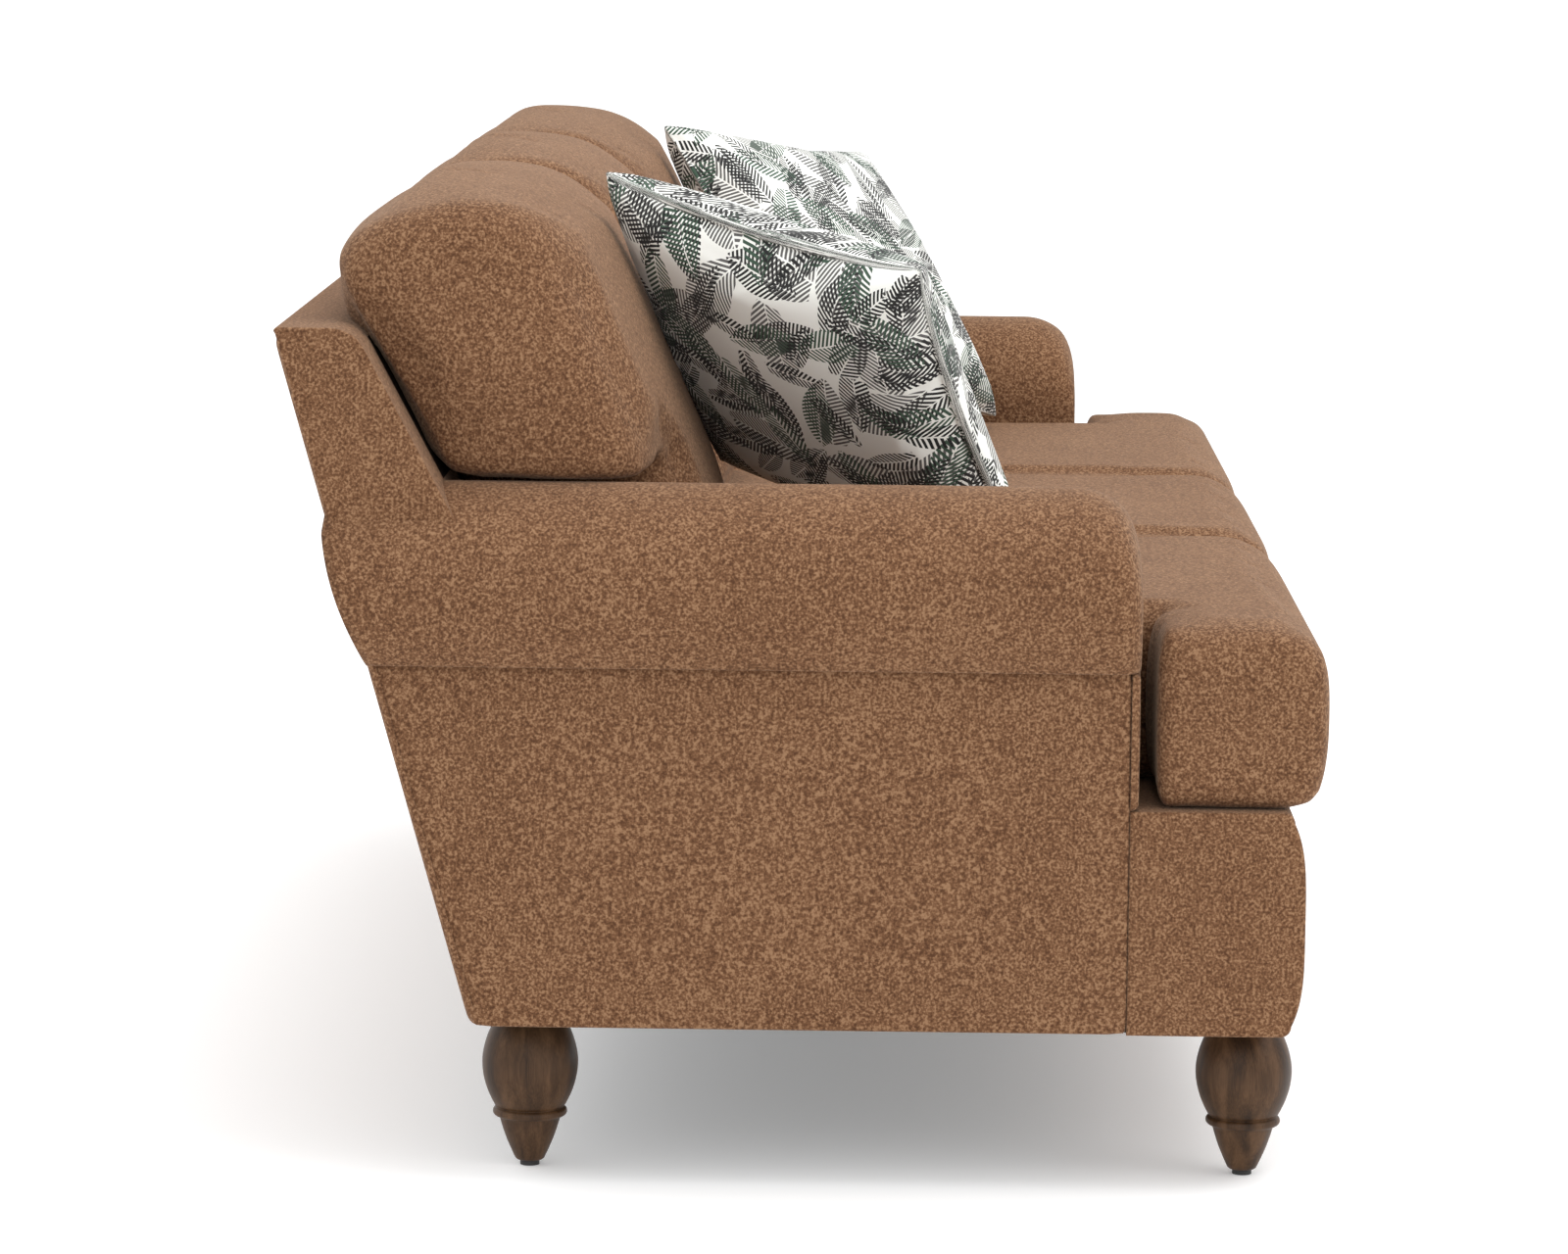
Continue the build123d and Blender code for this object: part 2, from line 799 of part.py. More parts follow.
def middle_back_corners(share):
    side = seat_split - cushion_gap / 2
    top = back_cushion_crest(share)
    return [(-side, 0), (side, 0), (side, top), (-side, top)]


def end_back_corners(share):
    """Back cushion beside the right arm, with an ear that passes over the arm."""
    inner = seat_split + cushion_gap / 2
    ear = arm_inner + back_ear_length
    ear_foot = back_ear_bottom / math.cos(cushion_lean(share))
    top = back_cushion_crest(share)
    return [(inner, 0), (cushion_end, 0), (cushion_end, ear_foot), (ear, ear_foot), (ear, top), (inner, top)]


def pillow_axes(turn, tilt, roll, side):
    """Width and face directions of a pillow that is turned into its corner, leant back and rolled."""
    turn, tilt, roll = (math.radians(angle) for angle in (turn, tilt, roll))
    across = Vector(-side * math.cos(turn), math.sin(turn), 0)
    ahead = Vector(-side * math.sin(turn), -math.cos(turn), 0)
    up = Vector(0, 0, math.cos(tilt)) - ahead * math.sin(tilt)
    width = across * math.cos(roll) + up * math.sin(roll)
    face = ahead * math.cos(tilt) + Vector(0, 0, math.sin(tilt))
    return width, face


def pillow_support(width, face):
    """Height of a pillow's centre over its lowest point, by the formula of its rounded edge and corners."""
    height = face.cross(width)
    spread = abs(width.Z) + abs(height.Z)
    edge = math.hypot(pillow_thick / 2 * face.Z, pillow_edge_round * spread)
    corner = pillow_corner_radius * math.hypot(width.Z, height.Z)
    return (pillow_size / 2 - pillow_corner_radius - pillow_edge_round) * spread + edge + corner


def throw_pillow(from_arm, from_back, turn, tilt, roll, side):
    """A pillow resting on the seat, turned into the corner of an arm and the back."""
    width, face = pillow_axes(turn, tilt, roll, side)
    z = seat_top + seat_gap + pillow_support(width, face)
    back_y = back_cushion_foot - back_cushion_depth + (z - back_cushion_bottom) * math.tan(front_lean)
    centre = Vector(side * (arm_inner - from_arm), back_y - from_back, z)
    half = pillow_size / 2
    corners = [(-half, -half), (half, -half), (half, half), (-half, half)]
    edge = pillow_draw_in + pillow_seam
    flat = pillow_flat * pillow_edge_round
    return cover_and_core(
        lambda share: Plane(centre + face * (share - 0.5) * pillow_thick, width, face),
        lambda share: corners,
        [pillow_edge_round] * 4,
        pillow_corner_radius,
        [pillow_draw_in] * 4,
        pillow_fullness,
        [(pillow_flat / 2, flat), (0.5, edge), (1 - pillow_flat / 2, flat)],
        pillow_thick,
    )


parts = {
    "front_rail": make_front_rail(),
    "rear_rail": make_rear_rail(),
    "right_side_rail": make_side_rail(),
    "seat_stretchers": make_seat_stretchers(),
    "corner_blocks": make_corner_blocks(),
    "frame_screws": make_frame_screws(),
    "seat_springs": make_seat_springs(),
    "spring_clips": make_spring_clips(),
    "seat_deck": make_seat_deck(),
    "front_border": make_front_border(),
    "dust_cover": make_dust_cover(),
    "right_arm_board": make_arm_board(),
    "right_arm_front_post": make_arm_front_post(),
    "right_arm_rear_post": make_arm_rear_post(),
    "right_arm_pad": make_arm_pad(),
    "right_arm_cover": make_arm_cover(),
    "right_outside_arm_panel": make_outside_arm_panel(),
    "right_arm_front_panel": make_arm_front_panel(),
    "back_posts": make_back_posts(),
    "back_top_rail": make_back_top_rail(),
    "back_webbing": make_back_webbing(),
    "inside_back_pad": make_inside_back_pad(),
    "outside_back_panel": make_outside_back_panel(),
    "right_back_side_panel": make_back_side_panel(),
    "leg_glides": make_leg_glides(),
    "leg_plates": make_leg_plates(),
    "leg_bolts": make_leg_bolts(),
}
for name, place in leg_places.items():
    parts[name] = make_leg(*place)

left_pillow = (
    left_pillow_from_arm, left_pillow_from_back,
    left_pillow_turn_angle, left_pillow_lean_angle, left_pillow_roll_angle, -1,
)
right_pillow = (
    right_pillow_from_arm, right_pillow_from_back,
    right_pillow_turn_angle, right_pillow_lean_angle, right_pillow_roll_angle, 1,
)
cushions = {
    "middle_seat_cushion": ("foam", seat_cushion(middle_seat_corners())),
    "right_seat_cushion": ("foam", seat_cushion(end_seat_corners())),
    "middle_back_cushion": ("fill", back_cushion(middle_back_corners)),
    "right_back_cushion": ("fill", back_cushion(end_back_corners)),
    "left_throw_pillow": ("insert", throw_pillow(*left_pillow)),
    "right_throw_pillow": ("insert", throw_pillow(*right_pillow)),
}
for name, (filling, (cover, core)) in cushions.items():
    parts[name + "_cover"] = cover
    parts[name + "_" + filling] = core

# The left side of the frame and the left cushions are the right ones mirrored
for name in list(parts):
    left_name = name.replace("right_", "left_", 1)
    if name.startswith("right_") and left_name not in parts:
        parts[left_name] = mirrored(parts[name])

os.makedirs("parts", exist_ok=True)
for name, shape in parts.items():
    export_step(shape, f"parts/{name}.step")
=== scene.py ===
import json
import math

import bpy
import numpy as np
from mathutils import Matrix, Vector


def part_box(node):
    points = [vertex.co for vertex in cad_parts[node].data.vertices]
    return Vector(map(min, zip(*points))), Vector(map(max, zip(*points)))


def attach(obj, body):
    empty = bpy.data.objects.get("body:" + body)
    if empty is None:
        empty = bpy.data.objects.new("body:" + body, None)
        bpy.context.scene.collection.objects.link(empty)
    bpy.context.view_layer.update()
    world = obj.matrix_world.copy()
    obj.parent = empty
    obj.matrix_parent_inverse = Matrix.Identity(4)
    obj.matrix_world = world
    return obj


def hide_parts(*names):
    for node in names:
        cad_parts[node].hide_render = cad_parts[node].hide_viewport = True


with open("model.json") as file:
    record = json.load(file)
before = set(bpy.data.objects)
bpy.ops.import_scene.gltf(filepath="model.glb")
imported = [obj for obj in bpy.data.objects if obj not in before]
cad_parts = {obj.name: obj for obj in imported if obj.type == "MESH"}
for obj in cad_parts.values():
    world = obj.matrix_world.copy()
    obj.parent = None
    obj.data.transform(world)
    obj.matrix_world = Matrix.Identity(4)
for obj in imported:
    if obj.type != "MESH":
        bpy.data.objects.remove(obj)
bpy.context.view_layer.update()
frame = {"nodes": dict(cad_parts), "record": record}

scene = bpy.context.scene


# Timber rails, posts, boards and blocks of the frame, sawn from plain hardwood and plywood, glued and
# screwed. The upholstery covers all of them.
class Skin:
    """A material with one Principled shader, and calls that add nodes to it."""

    def __init__(self, name, values):
        self.material = bpy.data.materials.new(name)
        self.material.use_nodes = True
        self.tree = self.material.node_tree
        self.inputs = self.tree.nodes["Principled BSDF"].inputs
        for key, value in values.items():
            self.inputs[key].default_value = value

    def node(self, kind, settings=None, **inputs):
        """A new node. Inputs called i0, i1 and so on are counted, because some share a name."""
        made = self.tree.nodes.new(kind)
        for key, value in (settings or {}).items():
            setattr(made, key, value)
        for key, value in inputs.items():
            socket = made.inputs[int(key[1:])] if key[0] == "i" and key[1:].isdigit() else made.inputs[key]
            if isinstance(value, bpy.types.NodeSocket):
                self.tree.links.new(value, socket)
            else:
                socket.default_value = value
        return made

    def join(self, socket, name):
        """Joins a node's output to one of the shader's inputs."""
        self.tree.links.new(socket, self.inputs[name])

    def place(self):
        """Object coordinates."""
        return self.node("ShaderNodeTexCoord").outputs["Object"]

    def noise(self, scale, detail, stretch=(1, 1, 1), **more):
        """Noise on Object coordinates scaled along X, Y and Z."""
        place = self.node("ShaderNodeMapping", Vector=self.place(), Scale=stretch).outputs["Vector"]
        made = self.node("ShaderNodeTexNoise", Vector=place, Scale=scale, Detail=detail, **more)
        return made.outputs["Fac"]

    def sum(self, operation, a, b, c=0.0):
        """The result of a Math node on values or sockets."""
        return self.node("ShaderNodeMath", {"operation": operation}, i0=a, i1=b, i2=c).outputs["Value"]

    def colour(self, factor, steps):
        """Colours set at places from 0 to 1 along a factor, blended between."""
        ramp = self.node("ShaderNodeValToRGB", Fac=factor)
        elements = ramp.color_ramp.elements
        elements[0].position, elements[0].color = steps[0][0], (*steps[0][1], 1)
        elements[1].position, elements[1].color = steps[-1][0], (*steps[-1][1], 1)
        for place, colour in steps[1:-1]:
            elements.new(place).color = (*colour, 1)
        self.join(ramp.outputs["Color"], "Base Color")

    def roughness(self, factor, least, most):
        """Roughness between two values along a factor."""
        spread = self.node("ShaderNodeMapRange", Value=factor, i3=least, i4=most)
        self.join(spread.outputs["Result"], "Roughness")

    def bump(self, height, strength, distance):
        """Raises the surface by a height from 0 to 1, over a distance in metres."""
        raised = self.node("ShaderNodeBump", Height=height, Strength=strength, Distance=distance)
        self.join(raised.outputs["Normal"], "Normal")


def sawn_timber():
    """Pale sawn wood: noise drawn out along X gives the grain, with a fine bump."""
    skin = Skin("sawn_timber", {"Roughness": 0.7})
    grain = skin.noise(1.0, 5.0, stretch=(6, 90, 90))
    skin.colour(grain, [(0.3, (0.30, 0.17, 0.075)), (0.7, (0.52, 0.34, 0.18))])
    skin.bump(grain, strength=0.2, distance=0.0006)
    return skin.material


def dress(nodes, material):
    """Puts one material on CAD nodes that stay."""
    for name in nodes:
        mesh = frame["nodes"][name].data
        mesh.materials.clear()
        mesh.materials.append(material)


slot_of = {row["node"]: row["material_slot"] for row in frame["record"]["subparts"]}
dress([n for n in slot_of if slot_of[n] == "frame_timber"], sawn_timber())


# Sinuous springs, their clips, the screws, leg plates and hanger bolts, all of zinc-plated steel. The
# springs run under the seat deck, and the rest holds the frame and the legs together.
def zinc_steel():
    """Plated steel with faint cloudy spangle in its roughness and colour."""
    skin = Skin("zinc_steel", {"Roughness": 0.4, "Metallic": 1.0})
    cloud = skin.noise(160.0, 3.0)
    skin.colour(cloud, [(0.3, (0.42, 0.43, 0.45)), (0.7, (0.62, 0.63, 0.64))])
    skin.roughness(cloud, 0.28, 0.5)
    return skin.material


dress([n for n in slot_of if slot_of[n] == "steel"], zinc_steel())


# Elastic webbing straps across the back, and the black dust cloth under the base. Both are plain woven
# and stapled to the frame.
def strap_cloth(name, dark, light, threads):
    """Plain weave: two crossed waves of that many threads a metre shade the cloth and raise it."""
    skin = Skin(name, {"Roughness": 0.9, "Specular IOR Level": 0.05})
    waves_at_scale_1 = 3.14
    scale = threads / waves_at_scale_1
    waves = [
        skin.node("ShaderNodeTexWave", {"bands_direction": way}, Vector=skin.place(), Scale=scale)
        for way in ("X", "Z" if name == "webbing" else "Y")
    ]
    weave = skin.sum("MULTIPLY", *(wave.outputs["Fac"] for wave in waves))
    skin.colour(weave, [(0.0, dark), (1.0, light)])
    skin.bump(weave, strength=0.3, distance=0.0005)
    return skin.material


dress(["back_webbing"], strap_cloth("webbing", (0.03, 0.025, 0.02), (0.09, 0.08, 0.07), 300))
dress(["dust_cover"], strap_cloth("dust_cloth", (0.006, 0.006, 0.006), (0.02, 0.02, 0.02), 500))


# Four legs turned from one piece of wood each: a bulb under a flat top, a thin bead, and a cone down to
# the glide. Stained dark walnut with a satin finish, and screwed up into the corner blocks by a bolt.
def link_mesh(name, points, faces, material):
    """A smooth-shaded mesh object at the origin."""
    mesh = bpy.data.meshes.new(name)
    mesh.from_pydata(points.reshape(-1, 3).tolist(), [], faces)
    mesh.polygons.foreach_set("use_smooth", [True] * len(mesh.polygons))
    mesh.materials.append(material)
    piece = bpy.data.objects.new(name, mesh)
    scene.collection.objects.link(piece)
    return piece


def ring_faces(rows, columns):
    """Faces of a grid whose last column joins its first, with one face closing each end row."""
    index = np.arange(rows * columns).reshape(rows, columns)
    following = np.roll(index, -1, axis=1)
    sides = np.stack([index[:-1], following[:-1], following[1:], index[1:]], axis=-1).reshape(-1, 4)
    return sides.tolist() + [index[0, ::-1].tolist(), index[-1].tolist()]


def arc(centre, radius, start, end, count):
    """Points on a circle between two angles in degrees."""
    angle = np.radians(np.linspace(start, end, count))
    return np.column_stack([centre[0] + radius * np.cos(angle), centre[1] + radius * np.sin(angle)])


def walnut():
    """Dark stained wood: noise drawn out along Z is the grain, with fine dark pores and a satin coat."""
    skin = Skin("walnut_stain", {"Roughness": 0.45, "Specular IOR Level": 0.22})
    grain = skin.noise(1.0, 6.0, stretch=(70, 70, 7), Distortion=0.6)
    pores = skin.noise(1.0, 2.0, stretch=(900, 900, 40))
    pore_share = 0.35
    mixed = skin.sum("MULTIPLY_ADD", pores, pore_share, grain)
    skin.colour(mixed, [
        (0.45, (0.022, 0.0102, 0.0042)), (0.66, (0.055, 0.0265, 0.0110)), (0.9, (0.104, 0.053, 0.0245)),
    ])
    skin.roughness(grain, 0.36, 0.52)
    skin.bump(mixed, strength=0.12, distance=0.0004)
    return skin.material


def turned_leg(name, material):
    """Profile of radius and height, carried round the leg's axis in even steps.

    From the top: a short rim, the bulb, whose radius falls off from its widest by powers of the height up
    to the collar and down to the neck, a half-round bead, and a slightly full cone down to the foot.
    """
    low, high = (np.array(corner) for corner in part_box(name))
    x, y = (low[:2] + high[:2]) / 2
    bottom, top = low[2], high[2]
    bulb, neck, bead, cone, tip = 0.0445, 0.0325, 0.0345, 0.0285, 0.0135
    bulb_height, neck_height, bead_height, bead_half = 0.098, 0.0565, 0.0508, 0.0042
    collar, collar_drop, rim, foot_rim, fullness = 0.029, 0.002, 0.0015, 0.0012, 0.0012
    groove_in, groove_drop, bead_gap, top_hole, foot_hole = 0.0012, 0.0008, 0.0006, 0.012, 0.004
    turn_steps, shoulder_power, belly_power = 96, 1.8, 2.0
    upper = np.linspace(0, 1, 14)
    shoulder = np.column_stack([
        bulb - (bulb - collar) * (1 - upper) ** shoulder_power,
        top - collar_drop - (top - collar_drop - bulb_height) * upper,
    ])
    lower = np.linspace(0, 1, 20)[1:]
    belly = np.column_stack([
        bulb - (bulb - neck) * lower ** belly_power,
        bulb_height - (bulb_height - neck_height) * lower,
    ])
    groove = np.array([[neck - groove_in, neck_height - groove_drop]])
    ring = arc((bead - bead_half, bead_height), bead_half, 80, -80, 12)
    fall = np.linspace(0, 1, 16)
    foot_top = bead_height - bead_half - bead_gap
    taper = np.column_stack([
        cone - (cone - tip) * fall + fullness * np.sin(math.pi * fall),
        foot_top - (foot_top - bottom - foot_rim) * fall,
    ])
    above = [[top_hole, top], [collar - rim, top]]
    below = [[tip - rim, bottom], [foot_hole, bottom]]
    profile = np.concatenate([above, shoulder, belly, groove, ring, taper, below])
    turn = np.linspace(0, 2 * math.pi, turn_steps, endpoint=False)
    points = np.stack([
        x + profile[:, :1] * np.cos(turn),
        y - profile[:, :1] * np.sin(turn),
        np.broadcast_to(profile[:, 1:], (len(profile), turn_steps)),
    ], axis=-1)
    leg = link_mesh("turned_" + name, points, ring_faces(*points.shape[:2]), material)
    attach(leg, "frame")
    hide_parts(name)


leg_finish = walnut()
for leg_name in ("front_left_leg", "front_right_leg", "rear_left_leg", "rear_right_leg"):
    turned_leg(leg_name, leg_finish)


# Round glides of black moulded plastic, one nailed under each leg.
# They keep the CAD's own form.
def glide_plastic():
    """Black plastic with a fine moulded grain."""
    skin = Skin("glide_plastic", {"Roughness": 0.55})
    grain = skin.noise(900.0, 2.0)
    skin.colour(grain, [(0.3, (0.008, 0.008, 0.008)), (0.7, (0.022, 0.021, 0.02))])
    skin.bump(grain, strength=0.15, distance=0.0002)
    return skin.material


dress(["leg_glides"], glide_plastic())


# Outside arm panels: tweed drawn over thin padding on the frame's sides, from the base up under the arm
# roll, raked at the rear. The tweed is spun from dark brown, rust and tan yarns, so it looks speckled.
def tweed():
    """Speckled tweed on Object coordinates.

    Noise of about 3 mm mixes the yarn colours, noise of about 5 mm gathers them into flecks and noise of
    about 12 cm shades the cloth. Small rounded cells raise the yarn's nubs.
    """
    skin = Skin("speckled_tweed", {
        "Roughness": 0.92, "Specular IOR Level": 0.2,
        "Sheen Weight": 0.16, "Sheen Roughness": 0.45, "Sheen Tint": (0.95, 0.74, 0.55, 1),
    })
    yarn = skin.noise(380.0, 2.0, Roughness=0.6)
    fleck = skin.noise(190.0, 2.0, Roughness=0.5)
    soft = skin.noise(8.0, 2.0)
    fleck_share, soft_share, nub_share = 0.45, 0.12, -0.8
    both = skin.sum("MULTIPLY_ADD", fleck, fleck_share, yarn)
    skin.colour(skin.sum("MULTIPLY_ADD", soft, soft_share, both), [
        (0.56, (0.0767, 0.0326, 0.0145)), (0.70, (0.120, 0.0543, 0.0248)),
        (0.82, (0.1685, 0.0818, 0.040)), (0.95, (0.2686, 0.150, 0.080)),
    ])
    nubs = skin.node("ShaderNodeTexVoronoi", {"feature": "SMOOTH_F1"}, Vector=skin.place(), Scale=420.0)
    raised = skin.sum("MULTIPLY_ADD", nubs.outputs["Distance"], nub_share, yarn)
    skin.bump(raised, strength=0.55, distance=0.0012)
    return skin.material


def edge_grid(length, edge, count):
    """Places from 0 to a length: close together in a rounded edge at both ends, even between them."""
    rim = edge * (1 - np.cos(np.linspace(0, math.pi / 2, 9)))
    middle = np.linspace(edge, length - edge, count)[1:-1]
    return np.concatenate([rim, middle, (length - rim)[::-1]])


def sewn_sheets(front, rear):
    """Points and faces of two grids of points that share their rims, the first one facing outwards."""
    rows, columns = front.shape[:2]
    index = np.arange(rows * columns).reshape(rows, columns)
    inside = np.zeros((rows, columns), bool)
    inside[1:-1, 1:-1] = True
    behind = np.where(inside, rows * columns + np.cumsum(inside).reshape(rows, columns) - 1, index)
    sheets = [
        np.stack([grid[:-1, :-1], grid[1:, :-1], grid[1:, 1:], grid[:-1, 1:]], axis=-1).reshape(-1, 4)
        for grid in (index, behind)
    ]
    points = np.concatenate([front.reshape(-1, 3), rear[inside]])
    return points, np.concatenate([sheets[0], sheets[1][:, ::-1]])


def padded_panel(name, corners, outward, thick, crown, edge, corner_round, material, count=40):
    """Closed panel over four corners, flat behind and padded in front.

    A point at distance d from the nearest side stands out by thick * sqrt(1 - (1 - d / edge)^2), a round
    edge, and by crown * (1 - p^4) * (1 - q^4), with p and q from -1 to 1 across the panel. Squares about
    each corner are drawn into circles of the corner's radius.
    """
    corners, outward = np.array(corners), np.array(outward)
    width = np.linalg.norm(corners[1] - corners[0])
    height = np.linalg.norm(corners[3] - corners[0])
    u, v = np.meshgrid(edge_grid(width, edge, count), edge_grid(height, edge, count), indexing="ij")
    distance = np.minimum(np.minimum(u, width - u), np.minimum(v, height - v))
    inward_u = np.maximum(corner_round - np.minimum(u, width - u), 0)
    inward_v = np.maximum(corner_round - np.minimum(v, height - v), 0)
    in_corner = (inward_u > 0) & (inward_v > 0)
    reach = np.maximum(np.hypot(inward_u, inward_v), 1e-9)
    shrink = np.where(in_corner, np.maximum(inward_u, inward_v) / reach, 1)
    u = u - np.sign(u - width / 2) * inward_u * (1 - shrink)
    v = v - np.sign(v - height / 2) * inward_v * (1 - shrink)
    s, t = (u / width)[..., None], (v / height)[..., None]
    base = (corners[0] * (1 - s) + corners[1] * s) * (1 - t) + (corners[3] * (1 - s) + corners[2] * s) * t
    stand = thick * np.sqrt(1 - (1 - np.minimum(distance / edge, 1)) ** 2)
    stand += crown * (1 - (2 * s[..., 0] - 1) ** 4) * (1 - (2 * t[..., 0] - 1) ** 4)
    front = base + stand[..., None] * outward
    points, faces = sewn_sheets(front, base)
    if np.dot(np.cross(corners[1] - corners[0], corners[3] - corners[0]), outward) < 0:
        faces = faces[:, ::-1]
    return link_mesh(name, points, faces.tolist(), material)


cloth = tweed()
rake = math.radians(15.74)
back_low, back_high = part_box("outside_back_panel")


def rear_y(z):
    """Y of the raked outside of the back at a height."""
    return back_high.y - (back_high.z - z) * math.tan(rake)


panel_depth, panel_tuck, panel_lap = 0.010, 0.004, 0.001
for side_name, side in (("left", -1), ("right", 1)):
    low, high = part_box(side_name + "_outside_arm_panel")
    wall_x = side * (max(abs(low.x), abs(high.x)) - panel_depth)
    panel_top, panel_front = high.z + panel_tuck, low.y - panel_lap
    arm_panel = padded_panel(
        side_name + "_arm_side",
        [(wall_x, panel_front, low.z), (wall_x, rear_y(low.z) - panel_tuck, low.z),
         (wall_x, rear_y(panel_top) - panel_tuck, panel_top), (wall_x, panel_front, panel_top)],
        (side, 0, 0), thick=0.0085, crown=0.003, edge=0.003, corner_round=0.008, material=cloth,
    )
    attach(arm_panel, "frame")
    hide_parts(side_name + "_outside_arm_panel")


# Front border: one length of tweed over padding across the front of the base, swelling forward, with its
# ends wrapped round the sides to a seam with the arm panels.
def lofted_block(name, section, stations, insets, material):
    """A closed section of points in Y and Z, carried along X and drawn in towards its middle.

    At each station an inset moves the section in by that much of its half width and half height.
    """
    middle = (section.min(axis=0) + section.max(axis=0)) / 2
    half = (section.max(axis=0) - section.min(axis=0)) / 2
    most = 0.98
    rings = middle + (section - middle) * (1 - np.minimum(insets[:, None, None] / half, most))
    place = np.broadcast_to(stations[:, None, None], (*rings.shape[:2], 1))
    points = np.concatenate([place, rings], axis=-1)
    return link_mesh(name, points, ring_faces(*points.shape[:2]), material)


def rounded_ends(start, end, edge, count, half):
    """Stations and insets of a block with quarter-round edges at both ends, closed by small rings."""
    swing = np.linspace(0, math.pi / 2, 9)
    rim = edge * (1 - np.cos(swing))
    drawn = edge * (1 - np.sin(swing))
    cap = half * np.array([0.98, 0.7, 0.35])
    middle = np.linspace(start + edge, end - edge, count)[1:-1]
    stations = np.concatenate([[start] * 3, start + rim, middle, (end - rim)[::-1], [end] * 3])
    insets = np.concatenate([cap, drawn, np.zeros(count - 2), drawn[::-1], cap[::-1]])
    return stations, insets


low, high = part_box("front_border")
swell, swell_power, edge = 0.011, 4, 0.010
face_y = low.y + swell
bend_y = face_y + edge
rise = np.linspace(low.z + edge, high.z - edge, 40)
height = (rise - (low.z + high.z) / 2) / ((high.z - low.z) / 2 - edge)
border_section = np.concatenate([
    np.linspace((high.y, low.z), (bend_y, low.z), 14),
    arc((bend_y, low.z + edge), edge, 270, 180, 10)[1:],
    np.column_stack([face_y - swell * (1 - np.abs(height) ** swell_power), rise])[1:],
    arc((bend_y, high.z - edge), edge, 180, 90, 10)[1:],
    np.linspace((bend_y, high.z), (high.y, high.z), 14)[1:],
    np.linspace((high.y, high.z), (high.y, low.z), 16)[1:-1],
])
half = min(high.y - low.y, high.z - low.z) / 2
stations, insets = rounded_ends(low.x, high.x, edge=0.004, count=90, half=half)
border = lofted_block("front_border_cloth", border_section, stations, insets, cloth)
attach(border, "frame")
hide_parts("front_border")


# Seat deck: padding over the springs under the seat cushions, covered with a plain near-black cloth and
# fixed to the rails. The cloth's dark colour is painted shade, for the gaps between and under the cushions.
# Near-black cloth for the deck, the inside back and the crest's front: its colour is painted shade.
shade_lining = strap_cloth("shade_lining_cloth", (0.014, 0.008, 0.0055), (0.032, 0.020, 0.014), 400)
low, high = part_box("seat_deck")
deck = padded_panel(
    "seat_deck_cloth",
    [(low.x, low.y, low.z), (high.x, low.y, low.z), (high.x, high.y, low.z), (low.x, high.y, low.z)],
    (0, 0, 1), thick=0.009, crown=0.002, edge=0.014, corner_round=0.02, material=shade_lining,
)
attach(deck, "frame")
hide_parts("seat_deck")


